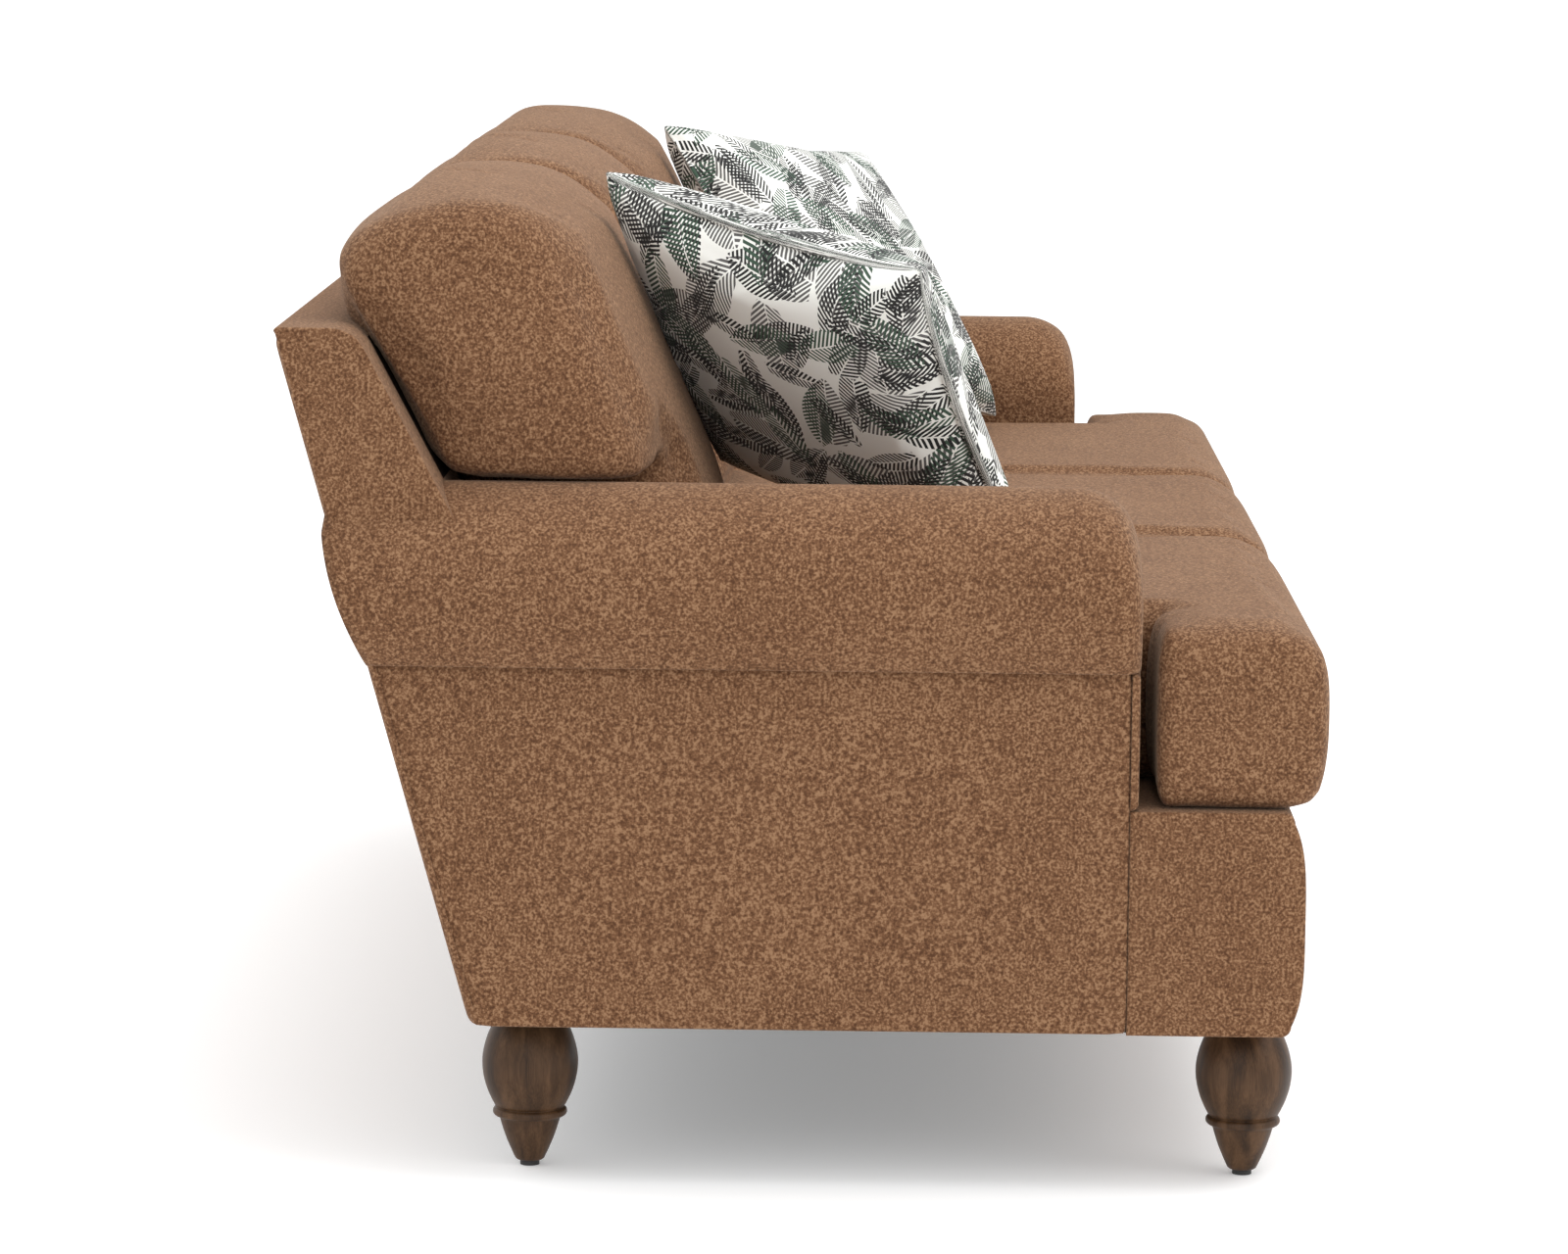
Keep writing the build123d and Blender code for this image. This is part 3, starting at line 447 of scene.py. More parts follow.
# Rolled arms: tweed over thick padding on a board, rounded on top and turned back under to the side
# panel, with a softly rounded front corner. Each is closed by the raked outside back.
def rolled_arm(side_name, side, material):
    """The arm's section in X and Z, carried back along Y.

    The section is a flat inside, half a circle over the roll, a wider arc back under it and a straight
    outside. Near the front its upper half is lowered by a quarter circle of the corner's radius and all of
    it is drawn in by a smaller one. At the rear each point ends on the raked back, and the roll's end
    swells where it stands past the outside back panel.
    """
    low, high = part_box(side_name + "_arm_cover")
    inner = min(abs(low.x), abs(high.x))
    outer = max(abs(low.x), abs(high.x))
    radius = (outer - inner) / 2
    centre = (inner + radius, high.z - radius)
    under_drop, overhang, wall = 0.061, 0.023, outer - 0.040
    under_radius = (overhang ** 2 + under_drop ** 2) / (2 * overhang)
    under_angle = math.degrees(math.asin(under_drop / under_radius))
    under_end = centre[1] - under_drop
    section = np.concatenate([
        np.linspace((inner, low.z), (inner, centre[1]), 24, endpoint=False),
        arc(centre, radius, 180, 0, 72),
        arc((outer - under_radius, centre[1]), under_radius, 0, -under_angle, 24)[1:],
        np.linspace((outer - overhang, under_end), (wall, under_end), 6)[1:],
        np.linspace((wall, under_end), (wall, low.z), 15)[1:],
        np.linspace((wall, low.z), (inner, low.z), 16)[1:-1],
    ])
    corner, edge, length, half_width, middle_drop = 0.053, 0.016, 0.64, 0.1, 0.04
    front_cap, rear_cap = (0.03, 0.35, 0.7), (0.97, 0.6, 0.03)
    middle = np.array([(inner + wall) / 2, centre[1] - middle_drop])
    swing = np.linspace(0, math.pi / 2, 16)
    ahead = np.concatenate([[0, 0, 0], corner * (1 - np.cos(swing)), np.linspace(corner, length, 60)[1:]])
    drop = corner - np.sqrt(np.maximum(corner ** 2 - np.maximum(corner - ahead, 0) ** 2, 0))
    drawn = edge - np.sqrt(np.maximum(edge ** 2 - np.maximum(edge - ahead, 0) ** 2, 0))
    shrink = 1 - drawn / half_width
    shrink[:3] = front_cap
    share = np.clip(ahead / length, 0, 1)
    lowered = np.maximum(section[:, 1] - centre[1], 0) / radius
    rings = np.repeat(section[None], len(ahead), axis=0)
    rings[..., 1] -= lowered * drop[:, None]
    rings = middle + (rings - middle) * shrink[:, None, None]
    ripple_height, up_waves, skew_waves, along_waves, flat_to, fade = 0.0009, 31, 11, 17, 0.01, 0.3
    ripple = np.sin(rings[..., 1] * up_waves + ahead[:, None] * skew_waves)
    ripple *= np.sin(ahead[:, None] * along_waves)
    rings[..., 0] += ripple_height * ripple * (rings[..., 0] > inner + flat_to) * share[:, None] ** fade
    back_end, back_ease, rear_gap, rear_tuck, rear_swell = 1.03, 0.03, 0.0015, 0.004, 0.009
    over_roll = np.clip((rings[..., 1] - under_end) / (high.z - under_end), 0, 1)
    past_back = np.clip((rings[..., 0] - back_end) / back_ease, 0, 1)
    rear = rear_y(rings[..., 1]) - rear_gap - rear_tuck * (1 - past_back)
    rear += rear_swell * np.sin(math.pi * over_roll) * past_back
    y = low.y + share[:, None] * (rear - low.y)
    points = np.stack([side * rings[..., 0], y, rings[..., 1]], axis=-1)
    rear_middle = points[-1].mean(axis=0)
    closing = [rear_middle + (points[-1] - rear_middle) * part for part in rear_cap]
    points = np.concatenate([points, closing])
    if side < 0:
        points = points[:, ::-1]
    return link_mesh(side_name + "_arm_roll", points, ring_faces(*points.shape[:2]), material)


for side_name, side in (("left", -1), ("right", 1)):
    arm = rolled_arm(side_name, side, cloth)
    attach(arm, "frame")
    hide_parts(side_name + "_arm_cover", side_name + "_arm_pad")
    low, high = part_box(side_name + "_arm_front_panel")
    facing = padded_panel(
        side_name + "_arm_facing",
        [(low.x, high.y, low.z), (high.x, high.y, low.z), (high.x, high.y, high.z), (low.x, high.y, high.z)],
        (0, -1, 0), thick=0.0075, crown=0.0015, edge=0.006, corner_round=0.006, material=cloth, count=24,
    )
    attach(facing, "frame")
    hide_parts(side_name + "_arm_front_panel")


# Back of the frame: padded in front and over a rounded top rail, with flat sides above the arms. The
# inside back runs down between the arms to the deck, behind the loose cushions. The tweed ends a little
# way down the front, and near-black cloth covers the rest, painted shade for the gap behind the cushions.
crest_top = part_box("inside_back_pad")[1].z
crest_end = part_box("right_back_side_panel")[1].x
lean = math.radians(28.1)
foot_z, foot_y = 0.353, 0.175


def front_y(z):
    """Y of the padded front of the back at a height."""
    return foot_y + (z - foot_z) * math.tan(lean)


crest_bottom, crest_drop, crest_reach, crest_lip = 0.60, 0.0255, 0.0374, 0.004
heel_round, heel_drop, crest_gap = 0.004, 0.006, 0.003
bend_z, heel_z = crest_top - crest_drop, crest_top - heel_drop
bend_y, heel_y = front_y(bend_z), rear_y(crest_top) - crest_gap - heel_round
front_foot, rear_foot = front_y(crest_bottom), rear_y(crest_bottom) - crest_gap
swing = np.linspace(0, 1, 16)[1:]
over_y = bend_y + crest_reach * swing - crest_lip * np.sin(math.pi * swing)
crest_section = np.concatenate([
    np.linspace((front_foot, crest_bottom), (bend_y, bend_z), 24),
    np.column_stack([over_y, crest_top - crest_drop * (1 - swing) ** 2]),
    np.linspace((over_y[-1], crest_top), (heel_y, crest_top), 8)[1:],
    arc((heel_y, crest_top - heel_round), heel_round, 90, 10, 8)[1:],
    np.linspace((rear_y(heel_z) - crest_gap, heel_z), (rear_foot, crest_bottom), 24),
    np.linspace((rear_foot, crest_bottom), (front_foot, crest_bottom), 12)[1:-1],
])
stations, insets = rounded_ends(-crest_end, crest_end, edge=0.003, count=90, half=0.06)
crest = lofted_block("back_crest", crest_section, stations, insets, cloth)
crest.data.materials.append(shade_lining)
# Faces of the crest's front below its rounding, short of its ends, take the near-black cloth: painted shade.
shade_lining_top, shade_lining_half, arm_columns, arm_half = 27, 0.985, 5, 0.87
row, column = np.divmod(np.arange(len(crest.data.polygons)), len(crest_section))
from_middle = np.abs(stations[np.minimum(row, len(stations) - 1)])
shade_lined = (column < shade_lining_top) & (from_middle < np.where(column > arm_columns, shade_lining_half, arm_half))
crest.data.polygons.foreach_set("material_index", shade_lined.astype(np.int32))
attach(crest, "frame")
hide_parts("left_back_side_panel", "right_back_side_panel")

inside_half, inside_lap, inside_set = 0.8785, 0.02, 0.02
inside_top = crest_bottom + inside_lap
inside_foot_y, inside_top_y = (front_y(z) + inside_set for z in (foot_z, inside_top))
# The inside back is covered in the near-black cloth: painted shade behind the back cushions.
inside = padded_panel(
    "inside_back_cloth",
    [(-inside_half, inside_foot_y, foot_z), (inside_half, inside_foot_y, foot_z),
     (inside_half, inside_top_y, inside_top), (-inside_half, inside_top_y, inside_top)],
    (0, -math.cos(lean), math.sin(lean)),
    thick=0.014, crown=0.003, edge=0.02, corner_round=0.02, material=shade_lining,
)
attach(inside, "frame")
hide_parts("inside_back_pad")


# Outside back: one raked panel of tweed over thin padding, from the base to the top of the back. It is
# closed along its edges by hand stitching.
panel_half, top_drop = 1.050, 0.004
outside_top = back_high.z - top_drop
outside_foot_y, outside_top_y = (rear_y(z) - panel_depth for z in (back_low.z, back_high.z))
outside = padded_panel(
    "outside_back_cloth",
    [(-panel_half, outside_foot_y, back_low.z), (panel_half, outside_foot_y, back_low.z),
     (panel_half, outside_top_y, outside_top), (-panel_half, outside_top_y, outside_top)],
    (0, math.cos(rake), -math.sin(rake)),
    thick=0.0085, crown=0.003, edge=0.011, corner_round=0.018, material=cloth, count=70,
)
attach(outside, "frame")
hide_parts("outside_back_panel")


# Three loose seat cushions: foam blocks with a soft wrap in tweed covers. The end ones have an ear that
# passes in front of the arm. They lie side by side on the deck, fullest in the middle.
def soft_outline(corners, insets, radii):
    """Outline of a square-cornered cushion, its left, right, lower and upper sides drawn in by insets.

    Each corner moves inwards with its two sides and is rounded by an arc of its own radius.
    """
    corners = np.array(corners, float)
    ahead = np.roll(corners, -1, axis=0) - corners
    ahead /= np.linalg.norm(ahead, axis=1, keepdims=True)
    left, right, lower, upper = insets
    upright = np.where(ahead[:, 0] > 0, lower, upper)
    sideways = np.where(ahead[:, 1] > 0, right, left)
    own = np.where(np.abs(ahead[:, 0]) > 0.5, upright, sideways)[:, None]
    step = own * np.stack([-ahead[:, 1], ahead[:, 0]], axis=-1)
    moved = corners + step + np.roll(step, 1, axis=0)
    behind = np.roll(ahead, 1, axis=0)
    bend = np.array(radii)[:, None, None]
    swing = np.linspace(0, math.pi / 2, 10)[None, :, None]
    turning = (np.sin(swing) - 1) * behind[:, None] + (1 - np.cos(swing)) * ahead[:, None]
    arcs = moved[:, None] + bend * turning
    steps = np.linspace(0, 1, 26)[None, 1:-1, None]
    sides = arcs[:, -1:] * (1 - steps) + np.roll(arcs, -1, axis=0)[:, :1] * steps
    return np.concatenate([arcs, sides], axis=1).reshape(-1, 2)


def box_cushion(name, outline_at, place, fullness, voxel, material):
    """A cushion's closed start form, remeshed to an even net.

    Rings of the outline run from one face to the other: at each angle from 0 to 180 degrees the ring lies
    at (1 - cos^fullness) / 2 of the depth, its sides drawn in by (1 - sin^fullness) of their edge rounds.
    """
    angle = np.linspace(0, math.pi, 25)
    share = (1 - np.sign(np.cos(angle)) * np.abs(np.cos(angle)) ** fullness) / 2
    pull = 1 - np.abs(np.sin(angle)) ** fullness
    points = np.stack([place(s, outline_at(s, p)) for s, p in zip(share, pull)])
    start = link_mesh(name, points, ring_faces(*points.shape[:2]), material)
    even = start.modifiers.new("even_net", "REMESH")
    even.mode = "VOXEL"
    even.voxel_size = voxel
    replace_by_result(start)
    return start


def replace_by_result(piece):
    """Takes a piece's modifiers into its own mesh, smooth-shaded."""
    result = bpy.data.meshes.new_from_object(piece.evaluated_get(bpy.context.evaluated_depsgraph_get()))
    piece.modifiers.clear()
    piece.data = result
    result.polygons.foreach_set("use_smooth", [True] * len(result.polygons))


def vertex_values(rows, key):
    """Three values a vertex, from a mesh's vertices or normals."""
    values = np.empty(len(rows) * 3, np.float32)
    rows.foreach_get(key, values)
    return values.reshape(-1, 3).astype(float)


def mesh_points(piece):
    return vertex_values(piece.data.vertices, "co")


def set_points(piece, points):
    piece.data.vertices.foreach_set("co", points.astype(np.float32).ravel())
    piece.data.update()


def stuff(pieces, pressure, frames, stiffness):
    """Lets cloth covers swell under the pressure of their filling, with no weight.

    Returns each cover's points and outward directions as they were before.
    """
    for piece in pieces:
        cover = piece.modifiers.new("stuffing", "CLOTH")
        cover.settings.quality = 4
        cover.settings.mass = 0.3
        cover.settings.tension_stiffness = stiffness
        cover.settings.compression_stiffness = stiffness
        cover.settings.shear_stiffness = stiffness / 3
        cover.settings.bending_stiffness = 0.4
        cover.settings.use_pressure = True
        cover.settings.uniform_pressure_force = pressure
        cover.settings.effector_weights.gravity = 0
        cover.collision_settings.use_collision = False
        cover.point_cache.frame_start = 1
        cover.point_cache.frame_end = frames
    for step in range(1, frames + 1):
        scene.frame_set(step)
    start = [(mesh_points(piece), vertex_values(piece.data.vertex_normals, "vector")) for piece in pieces]
    for piece in pieces:
        replace_by_result(piece)
    scene.frame_set(1)
    return start


def swollen(piece, rest, outward, limit, slack):
    """Points of a stuffed piece, moved out up to a limit, and in or sideways up to the slack."""
    move = mesh_points(piece) - rest
    out = np.sum(move * outward, axis=1, keepdims=True)
    along = move - out * outward
    length = np.linalg.norm(along, axis=1, keepdims=True)
    along *= np.minimum(1, slack / np.maximum(length, 1e-9))
    return rest + along + outward * np.clip(out, -slack, limit)


def fill_box(points, low, high):
    """Points stretched along X, Y and Z until they reach both corners of a box."""
    start, end = points.min(axis=0), points.max(axis=0)
    return np.array(low) + (points - start) * ((np.array(high) - np.array(low)) / (end - start))


def soft_limit(values, limit, ease):
    """Values that flatten against a limit over a distance of ease."""
    over = values - (limit - ease)
    return np.where(over > 0, limit - ease + ease * (1 - np.exp(-np.maximum(over, 0) / ease)), values)


seat_sides = {"left": -1, "middle": 0, "right": 1}
seat_shrink, seat_top = 0.004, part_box("middle_seat_cushion_cover")[1].z
front_bend, rear_bend, ear_bend, ear_slot = 0.030, 0.022, 0.026, 0.013
ear_corner, slot_corner = 0.006, 0.008
seat_pieces = []
for name in seat_sides:
    low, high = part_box(name + "_seat_cushion_cover")
    x0, x1 = low.x + seat_shrink, high.x - seat_shrink
    y0, y1 = low.y + seat_shrink, high.y - seat_shrink
    corners = [(x0, y0), (x1, y0), (x1, y1), (x0, y1)]
    radii = [front_bend, front_bend, rear_bend, rear_bend]
    if name != "middle":
        arm_low, arm_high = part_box(name + "_arm_cover")
        ear_rear = arm_low.y - ear_slot - seat_shrink
        if name == "right":
            inner = arm_low.x - seat_shrink
            corners = [(x0, y0), (x1, y0), (x1, ear_rear), (inner, ear_rear), (inner, y1), (x0, y1)]
            radii = [front_bend, ear_bend, ear_corner, slot_corner, rear_bend, rear_bend]
        else:
            inner = arm_high.x + seat_shrink
            corners = [(x0, y0), (x1, y0), (x1, y1), (inner, y1), (inner, ear_rear), (x0, ear_rear)]
            radii = [ear_bend, front_bend, rear_bend, rear_bend, slot_corner, ear_corner]
    z0, z1 = low.z, high.z - seat_shrink

    def seat_outline(share, pull, name=name, corners=corners, radii=radii):
        """The front edge is full and round, and the ears' ends are tight below and softer above.

        Edges that lie against the next cushion, the arms or the back stay tight.
        """
        tight, free_rise, joined_rise, front_round, front_rise = 0.006, 0.028, 0.004, 0.030, 0.018
        free, joined = tight + free_rise * share ** 2, tight + joined_rise * share
        left, right = (free if name == end else joined for end in ("left", "right"))
        edges = np.array([left, right, front_round + front_rise * share, joined])
        return soft_outline(corners, pull * edges, radii)

    def seat_place(share, outline, z0=z0, z1=z1):
        """Points of a layer, at a share of the height."""
        return np.column_stack([outline, np.full(len(outline), z0 + (z1 - z0) * share)])

    seat_pieces.append(box_cushion(
        name + "_seat_cushion", seat_outline, seat_place, fullness=0.67, voxel=0.009, material=cloth,
    ))

seat_proud, seat_turn, turn_power, front_depth, ear_width = 0.010, 0.008, 6, 0.08, 0.2
arm_inner, arm_gap, arm_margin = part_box("right_arm_cover")[0].x, 0.0004, 0.004
ear_gap, ear_closed, ear_press, ear_depth, deck_gap = 0.011, 0.0095, 0.007, 0.05, 0.0002
slot_end, slot_ease = 0.94, 0.03
seat_start = stuff(seat_pieces, pressure=1.5, frames=20, stiffness=15)
for name, piece, (rest, outward) in zip(seat_sides, seat_pieces, seat_start):
    low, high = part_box(name + "_seat_cushion_cover")
    points = swollen(piece, rest, outward, limit=0.007, slack=0.002)
    points = fill_box(points, low - Vector((0, seat_proud, 0)), high)
    arm_side = seat_sides[name]
    from_middle = np.abs(points[:, 0] - (low.x + high.x) / 2) / ((high.x - low.x) / 2)
    to_front = np.clip((low.y + front_depth - points[:, 1]) / front_depth, 0, 1)
    ear_end = points[:, 0] * arm_side > max(-low.x, high.x) - ear_width
    points[:, 1] += np.where(ear_end, 0, seat_turn * from_middle ** turn_power * to_front)
    if arm_side:
        arm_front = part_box(name + "_arm_cover")[0].y
        beside = points[:, 1] > arm_front - arm_margin
        reach = soft_limit(points[:, 0] * arm_side, arm_inner - arm_gap, ease=0.003)
        points[:, 0] = np.where(beside, reach * arm_side, points[:, 0])
        ear = points[:, 0] * arm_side > arm_inner + arm_margin
        limited = soft_limit(points[:, 1], arm_front - ear_gap, ease=0.002)
        near_arm = np.clip((limited - arm_front + ear_gap) / ear_depth + 1, 0, 1)
        from_end = np.clip((slot_end - points[:, 0] * arm_side) / slot_ease, 0, 1)
        points[:, 1] = np.where(ear, limited + ear_closed * near_arm * from_end, points[:, 1])
        low_down = 1 - np.clip((points[:, 2] - low.z) / ear_depth, 0, 1)
        pressed = -soft_limit(ear_press * low_down - points[:, 2], -low.z - deck_gap, ease=0.001)
        points[:, 2] = np.where(ear, pressed, points[:, 2])
    set_points(piece, points)
    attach(piece, name + "_seat_cushion")
    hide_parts(name + "_seat_cushion_cover", name + "_seat_cushion_foam")


# Three loose back cushions, filled with fibre and leaning on the inside back. The end ones have an ear
# that passes over the arm. Their tops are rounded and their fronts swell.
back_lean_rear, back_lean_front = math.radians(31.0), math.radians(21.1)
back_depth, back_drop, back_shrink, back_rise = 0.157, 0.052, 0.004, 0.274
foot_lead, arm_clear = 0.020, 0.0006
back_foot = front_y(seat_top) - foot_lead
arm_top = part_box("right_arm_cover")[1].z
foot_bend, top_bend, end_bend, ear_foot, slot_bend = 0.020, 0.038, 0.040, 0.014, 0.008
back_pieces = []
for name in seat_sides:
    low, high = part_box(name + "_back_cushion_cover")
    x0, x1 = low.x + back_shrink, high.x - back_shrink

    def back_corners(share, name=name, low=low, x0=x0, x1=x1):
        """Corners in X and up the slope of the layer at a share of the depth from the rear."""
        slope = math.cos(back_lean_rear + (back_lean_front - back_lean_rear) * share)
        top = (arm_top + back_rise - low.z - back_drop * (1 - share) ** 2) / slope - back_shrink
        ear = (arm_top + arm_clear - low.z) / slope + back_shrink
        inner = arm_inner - back_shrink
        if name == "right":
            return [(x0, 0), (inner, 0), (inner, ear), (x1, ear), (x1, top), (x0, top)]
        if name == "left":
            return [(-inner, 0), (x1, 0), (x1, top), (x0, top), (x0, ear), (-inner, ear)]
        return [(x0, 0), (x1, 0), (x1, top), (x0, top)]

    radii = {
        "left": [foot_bend, foot_bend, top_bend, end_bend, ear_foot, slot_bend],
        "middle": [foot_bend, foot_bend, top_bend, top_bend],
        "right": [foot_bend, foot_bend, slot_bend, ear_foot, end_bend, top_bend],
    }[name]

    def back_outline(share, pull, name=name, back_corners=back_corners, radii=radii):
        """The ears' ends are sharp behind and well rounded in front, and the top is rounded all over."""
        rear_round, front_rise, joined, foot_round, top_round = 0.010, 0.062, 0.030, 0.008, 0.055
        free = rear_round + front_rise * share
        left, right = (free if name == end else joined for end in ("left", "right"))
        edges = np.array([left, right, foot_round, top_round])
        return soft_outline(back_corners(share), pull * edges, radii)

    def back_place(share, outline, low=low):
        """Points of a layer, at a lean between those of the rear and the front."""
        inside_share = 0.5 + (share - 0.5) * (1 - 2 * back_shrink / back_depth)
        angle = back_lean_rear + (back_lean_front - back_lean_rear) * inside_share
        y = back_foot - inside_share * back_depth + outline[:, 1] * math.sin(angle)
        return np.column_stack([outline[:, 0], y, low.z + outline[:, 1] * math.cos(angle)])

    back_pieces.append(box_cushion(
        name + "_back_cushion", back_outline, back_place, fullness=0.67, voxel=0.009, material=cloth,
    ))

end_drop, end_turn, front_crown, lean_gap, rear_free = 0.010, 0.014, 0.026, 0.001, 0.76
ear_start, ear_lower, ear_fade = 0.02, 0.010, 0.05
back_start = stuff(back_pieces, pressure=1.5, frames=20, stiffness=15)
for name, piece, (rest, outward) in zip(seat_sides, back_pieces, back_start):
    low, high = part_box(name + "_back_cushion_cover")
    points = fill_box(swollen(piece, rest, outward, limit=0.012, slack=0.002), low, high)
    from_middle = np.abs(points[:, 0] - (low.x + high.x) / 2) / ((high.x - low.x) / 2)
    up_cushion = np.clip((points[:, 2] - low.z) / (high.z - low.z), 0, 1)
    to_front = np.clip((front_y(points[:, 2]) - points[:, 1]) / back_depth, 0, 1)
    points[:, 2] -= end_drop * from_middle ** 3 * up_cushion ** 2
    points[:, 1] -= end_turn * from_middle ** 3 * up_cushion ** 3 * (1 - to_front)
    points[:, 1] -= front_crown * (1 - from_middle ** 2) * (1 - (2 * up_cushion - 1) ** 4) * to_front
    rear_limit = front_y(points[:, 2]) - lean_gap + np.maximum(points[:, 2] - rear_free, 0)
    points[:, 1] = np.minimum(points[:, 1], rear_limit)
    arm_side = seat_sides[name]
    if arm_side:
        out = points[:, 0] * arm_side
        above = np.clip((points[:, 2] - arm_top) / ear_fade, 0, 1)
        points[:, 2] -= np.where(out > arm_inner + ear_start, ear_lower * (1 - above), 0)
        raised = -soft_limit(-points[:, 2], -arm_top - arm_gap, ease=0.003)
        points[:, 2] = np.where(out > arm_inner, raised, points[:, 2])
        beside = points[:, 2] < arm_top
        reach = soft_limit(out, arm_inner - arm_gap, ease=0.003)
        points[:, 0] = np.where(beside, reach * arm_side, points[:, 0])
    set_points(piece, points)
    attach(piece, name + "_back_cushion")
    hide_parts(name + "_back_cushion_cover", name + "_back_cushion_fill")


# Two throw pillows: knife-edge cotton covers over feather inserts, with full middles and thin corners.
# The cotton is printed with scattered leaves in charcoal, grey and green on off-white.
def leaf_print():
    """Leaves scattered over the pillow's own UV map.

    Each layer cuts the cloth into cells, turns every cell by its own random angle and draws one leaf in
    it: inside where |y| is under w * (1 - (x / l)^2), with a midrib and slanting veins left pale. A layer
    is the cells a metre, the shift of its cells, the leaf's length and width, and its ink.
    """
    skin = Skin("leaf_print", {"Roughness": 0.85, "Specular IOR Level": 0.25, "Sheen Weight": 0.1})
    flat = skin.node("ShaderNodeUVMap", {"uv_map": "cloth"}).outputs["UV"]

    def vector_sum(operation, a, b):
        return skin.node("ShaderNodeVectorMath", {"operation": operation}, i0=a, i1=b).outputs["Vector"]

    vein_slant, vein_rate, vein_share, midrib_half, thread_scale = -0.8, 1150.0, -0.15, 0.0008, 220.0
    layers = (
        (12.0, 0.00, 0.056, 0.027, (0.120, 0.118, 0.114)),
        (13.0, 3.17, 0.050, 0.018, (0.020, 0.020, 0.020)),
        (12.0, 7.73, 0.050, 0.019, (0.048, 0.088, 0.060)),
        (15.0, 5.41, 0.042, 0.012, (0.016, 0.017, 0.017)),
    )
    printed_so_far = (0.86, 0.87, 0.83, 1)
    for scale, shift, length, width, ink in layers:
        moved = vector_sum("ADD", flat, (shift, shift * 0.7, 0))
        flat_cells = {"voronoi_dimensions": "2D"}
        cell = skin.node("ShaderNodeTexVoronoi", flat_cells, Vector=moved, Scale=scale, Randomness=0.8)
        local = vector_sum("SUBTRACT", moved, cell.outputs["Position"])
        random = skin.node("ShaderNodeSeparateColor", Color=cell.outputs["Color"]).outputs["Red"]
        angle = skin.sum("MULTIPLY", random, 2 * math.pi)
        turned = skin.node("ShaderNodeVectorRotate", {"rotation_type": "Z_AXIS"}, Vector=local, Angle=angle)
        parts = skin.node("ShaderNodeSeparateXYZ", Vector=turned.outputs["Vector"])
        x, y = parts.outputs["X"], parts.outputs["Y"]
        along = skin.sum("DIVIDE", x, length)
        edge = skin.sum("MULTIPLY_ADD", skin.sum("MULTIPLY", along, along), -width, width)
        side = skin.sum("ABSOLUTE", y, 0.0)
        inside = skin.sum("LESS_THAN", side, edge)
        slanted = skin.sum("MULTIPLY_ADD", side, vein_slant, x)
        wave = skin.sum("SINE", skin.sum("MULTIPLY", slanted, vein_rate), 0.0)
        veins = skin.sum("GREATER_THAN", wave, vein_share)
        midrib = skin.sum("GREATER_THAN", side, midrib_half)
        mask = skin.sum("MULTIPLY", skin.sum("MULTIPLY", inside, veins), midrib)
        mix = skin.node("ShaderNodeMix", {"data_type": "RGBA"}, Factor=mask, i6=printed_so_far, i7=(*ink, 1))
        printed_so_far = mix.outputs[2]
    skin.join(printed_so_far, "Base Color")
    warp = skin.node("ShaderNodeTexWave", {"bands_direction": "X"}, Vector=flat, Scale=thread_scale)
    weft = skin.node("ShaderNodeTexWave", {"bands_direction": "Y"}, Vector=flat, Scale=thread_scale)
    skin.bump(skin.sum("MULTIPLY", warp.outputs["Fac"], weft.outputs["Fac"]), strength=0.25, distance=0.0004)
    return skin.material


def pillow_start(name, size, thick, material, count=84):
    """Two square sheets sewn at their edges, in the pillow's own plane.

    At p and q from -1 to 1 across the square the sheets stand thick / 2 * ((1 - p^2)(1 - q^2))^0.5 from the
    middle. The sides come in between the corners, and squares about the corners are drawn into circles.
    """
    draw, bend, gather, rear_shift = 0.075, 0.10, 0.8, (0.37 * size, 0.61 * size)
    side = np.sin(np.linspace(-math.pi / 2, math.pi / 2, count) * gather) / math.sin(gather / 2 * math.pi)
    p, q = np.meshgrid(side, side, indexing="ij")
    stand = thick / 2 * np.sqrt(np.maximum((1 - p ** 2) * (1 - q ** 2), 0))
    past_p, past_q = np.maximum(np.abs(p) - 1 + bend, 0), np.maximum(np.abs(q) - 1 + bend, 0)
    shrink = np.maximum(past_p, past_q) / np.maximum(np.hypot(past_p, past_q), 1e-9)
    in_corner = (past_p > 0) & (past_q > 0)
    p = p - np.where(in_corner, np.sign(p) * past_p * (1 - shrink), 0)
    q = q - np.where(in_corner, np.sign(q) * past_q * (1 - shrink), 0)
    x = size / 2 * p * (1 - draw * (1 - q ** 2))
    y = size / 2 * q * (1 - draw * (1 - p ** 2))
    points, faces = sewn_sheets(np.stack([x, y, stand], axis=-1), np.stack([x, y, -stand], axis=-1))
    pillow = link_mesh(name, points, faces.tolist(), material)
    flat = points[:, :2].copy()
    flat[count * count:] = rear_shift + flat[count * count:] * (-1, 1)
    cloth_map = pillow.data.uv_layers.new(name="cloth")
    cloth_map.data.foreach_set("uv", flat[faces.ravel()].astype(np.float32).ravel())
    return pillow


def pillow_frame(turn, tilt, roll, side):
    """Width, height and face directions of a pillow turned into its corner, leant back and rolled."""
    turn, tilt, roll = np.radians([turn, tilt, roll])
    across = np.array([-side * math.cos(turn), math.sin(turn), 0])
    ahead = np.array([-side * math.sin(turn), -math.cos(turn), 0])
    up = np.array([0, 0, math.cos(tilt)]) - ahead * math.sin(tilt)
    width = across * math.cos(roll) + up * math.sin(roll)
    face = ahead * math.cos(tilt) + np.array([0, 0, math.sin(tilt)])
    return width, np.cross(face, width), face


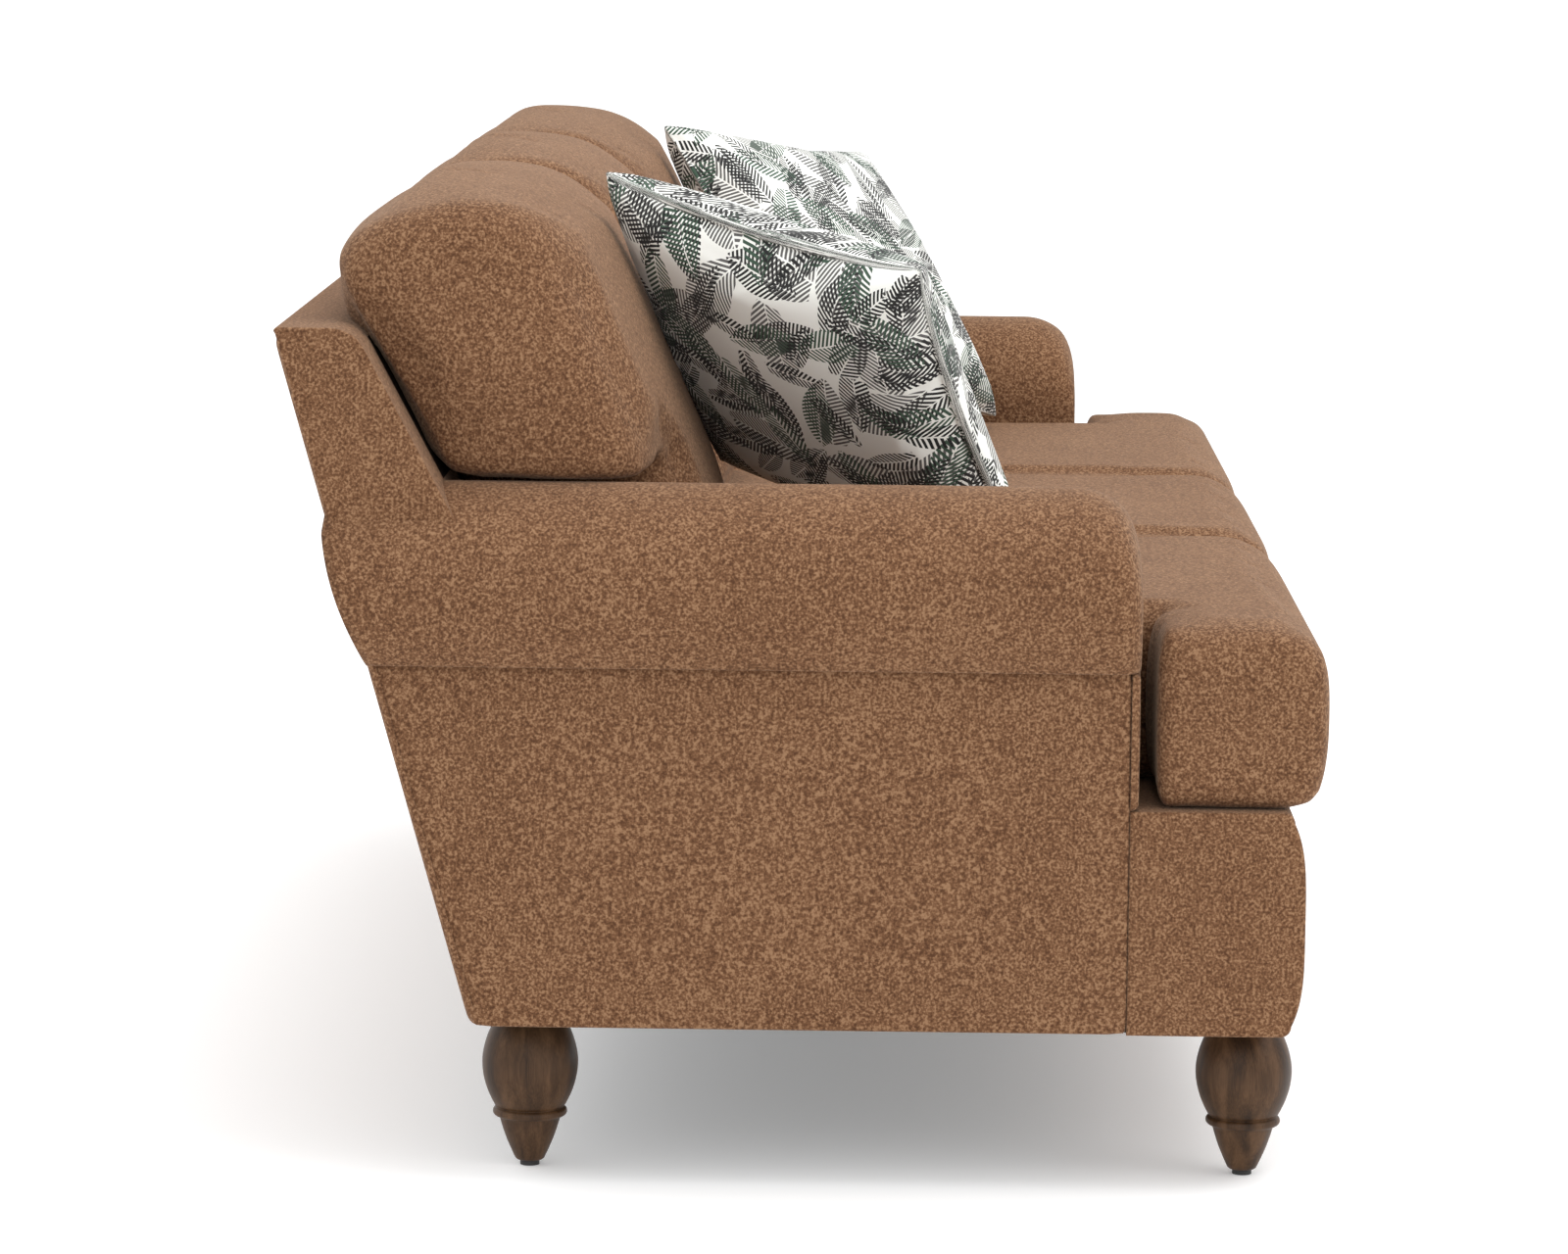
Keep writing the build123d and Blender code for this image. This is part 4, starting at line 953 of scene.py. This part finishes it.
pillow_size, pillow_thick = 0.420, 0.066
printed = leaf_print()
pillow_turns = {"left": (43.0, 39.0, 14.0, -1), "right": (30.0, 37.5, 8.5, 1)}
pillows = [pillow_start(name + "_throw_pillow", pillow_size, pillow_thick, printed) for name in pillow_turns]
pillow_start_forms = stuff(pillows, pressure=3.0, frames=20, stiffness=15)
for name, pillow, (rest, outward) in zip(pillow_turns, pillows, pillow_start_forms):
    points = swollen(pillow, rest, outward, limit=0.030, slack=0.012)
    low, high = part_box(name + "_throw_pillow_insert")
    centre = (np.array(low) + np.array(high)) / 2
    directions = np.stack(pillow_frame(*pillow_turns[name]))
    set_points(pillow, centre + points @ directions)
    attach(pillow, name + "_throw_pillow")
    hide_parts(name + "_throw_pillow_cover", name + "_throw_pillow_insert")

for piece in (*seat_pieces, *back_pieces, *pillows):
    smooth = piece.modifiers.new("smooth", "SUBSURF")
    smooth.levels = smooth.render_levels = 1


# Studio: a plain pale floor that runs out of sight, a wide soft light overhead, weaker ones in front and
# by the left end, and an even pale surround.
floor_level = -0.0004
floor_points = np.array([(x, y, floor_level) for x, y in ((-60, -60), (120, -60), (120, 60), (-60, 60))])
pale_floor = Skin("pale_floor", {
    "Base Color": (0.90, 0.90, 0.90, 1), "Roughness": 0.9,
    "Emission Color": (1, 1, 1, 1), "Emission Strength": 0.2,
})
floor = link_mesh("floor", floor_points, [[0, 1, 2, 3]], pale_floor.material)


def soft_light(name, place, target, size, power):
    """A square area light facing a point."""
    data = bpy.data.lights.new(name, "AREA")
    data.size, data.energy = size, power
    light = bpy.data.objects.new(name, data)
    light.location = place
    light.rotation_euler = (Vector(target) - Vector(place)).to_track_quat("-Z", "Y").to_euler()
    scene.collection.objects.link(light)


sofa_middle = (0, 0, 0.4)
soft_light("overhead", (-0.6, -0.8, 4.2), sofa_middle, size=3.2, power=94)
soft_light("front_fill", (-2.6, -4.2, 2.4), sofa_middle, size=2.4, power=25)
soft_light("side_fill", (-5.5, 0.8, 2.2), sofa_middle, size=2.4, power=12)
world = bpy.data.worlds.new("surround")
world.use_nodes = True
surround = world.node_tree.nodes["Background"].inputs
surround["Color"].default_value = (1, 1, 1, 1)
surround["Strength"].default_value = 1.15
scene.world = world
scene.view_settings.view_transform = "Standard"


# Camera: to the left of the sofa, a little above it and far off, looking along it. Its place, turns and
# lens were fitted to the photo.
camera_place = Vector((-6.294, -0.0705, 1.217))
camera_yaw, camera_pitch, camera_roll = (math.radians(a) for a in (0.94, 7.59, -0.56))
camera_data = bpy.data.cameras.new("photo_view")
camera_data.sensor_width, camera_data.lens = 36.0, 134.65
camera = bpy.data.objects.new("photo_view", camera_data)
ahead = Vector((math.cos(camera_yaw), math.sin(camera_yaw), 0))
right = Vector((math.sin(camera_yaw), -math.cos(camera_yaw), 0))
up = Vector((0, 0, 1))
forward_way = ahead * math.cos(camera_pitch) - up * math.sin(camera_pitch)
up_way = up * math.cos(camera_pitch) + ahead * math.sin(camera_pitch)
right_way = right * math.cos(camera_roll) - up_way * math.sin(camera_roll)
up_way = up_way * math.cos(camera_roll) + right * math.sin(camera_roll)
turned_view = Matrix((right_way, up_way, -forward_way)).transposed().to_4x4()
camera.matrix_world = Matrix.Translation(camera_place) @ turned_view
scene.collection.objects.link(camera)
scene.camera = camera
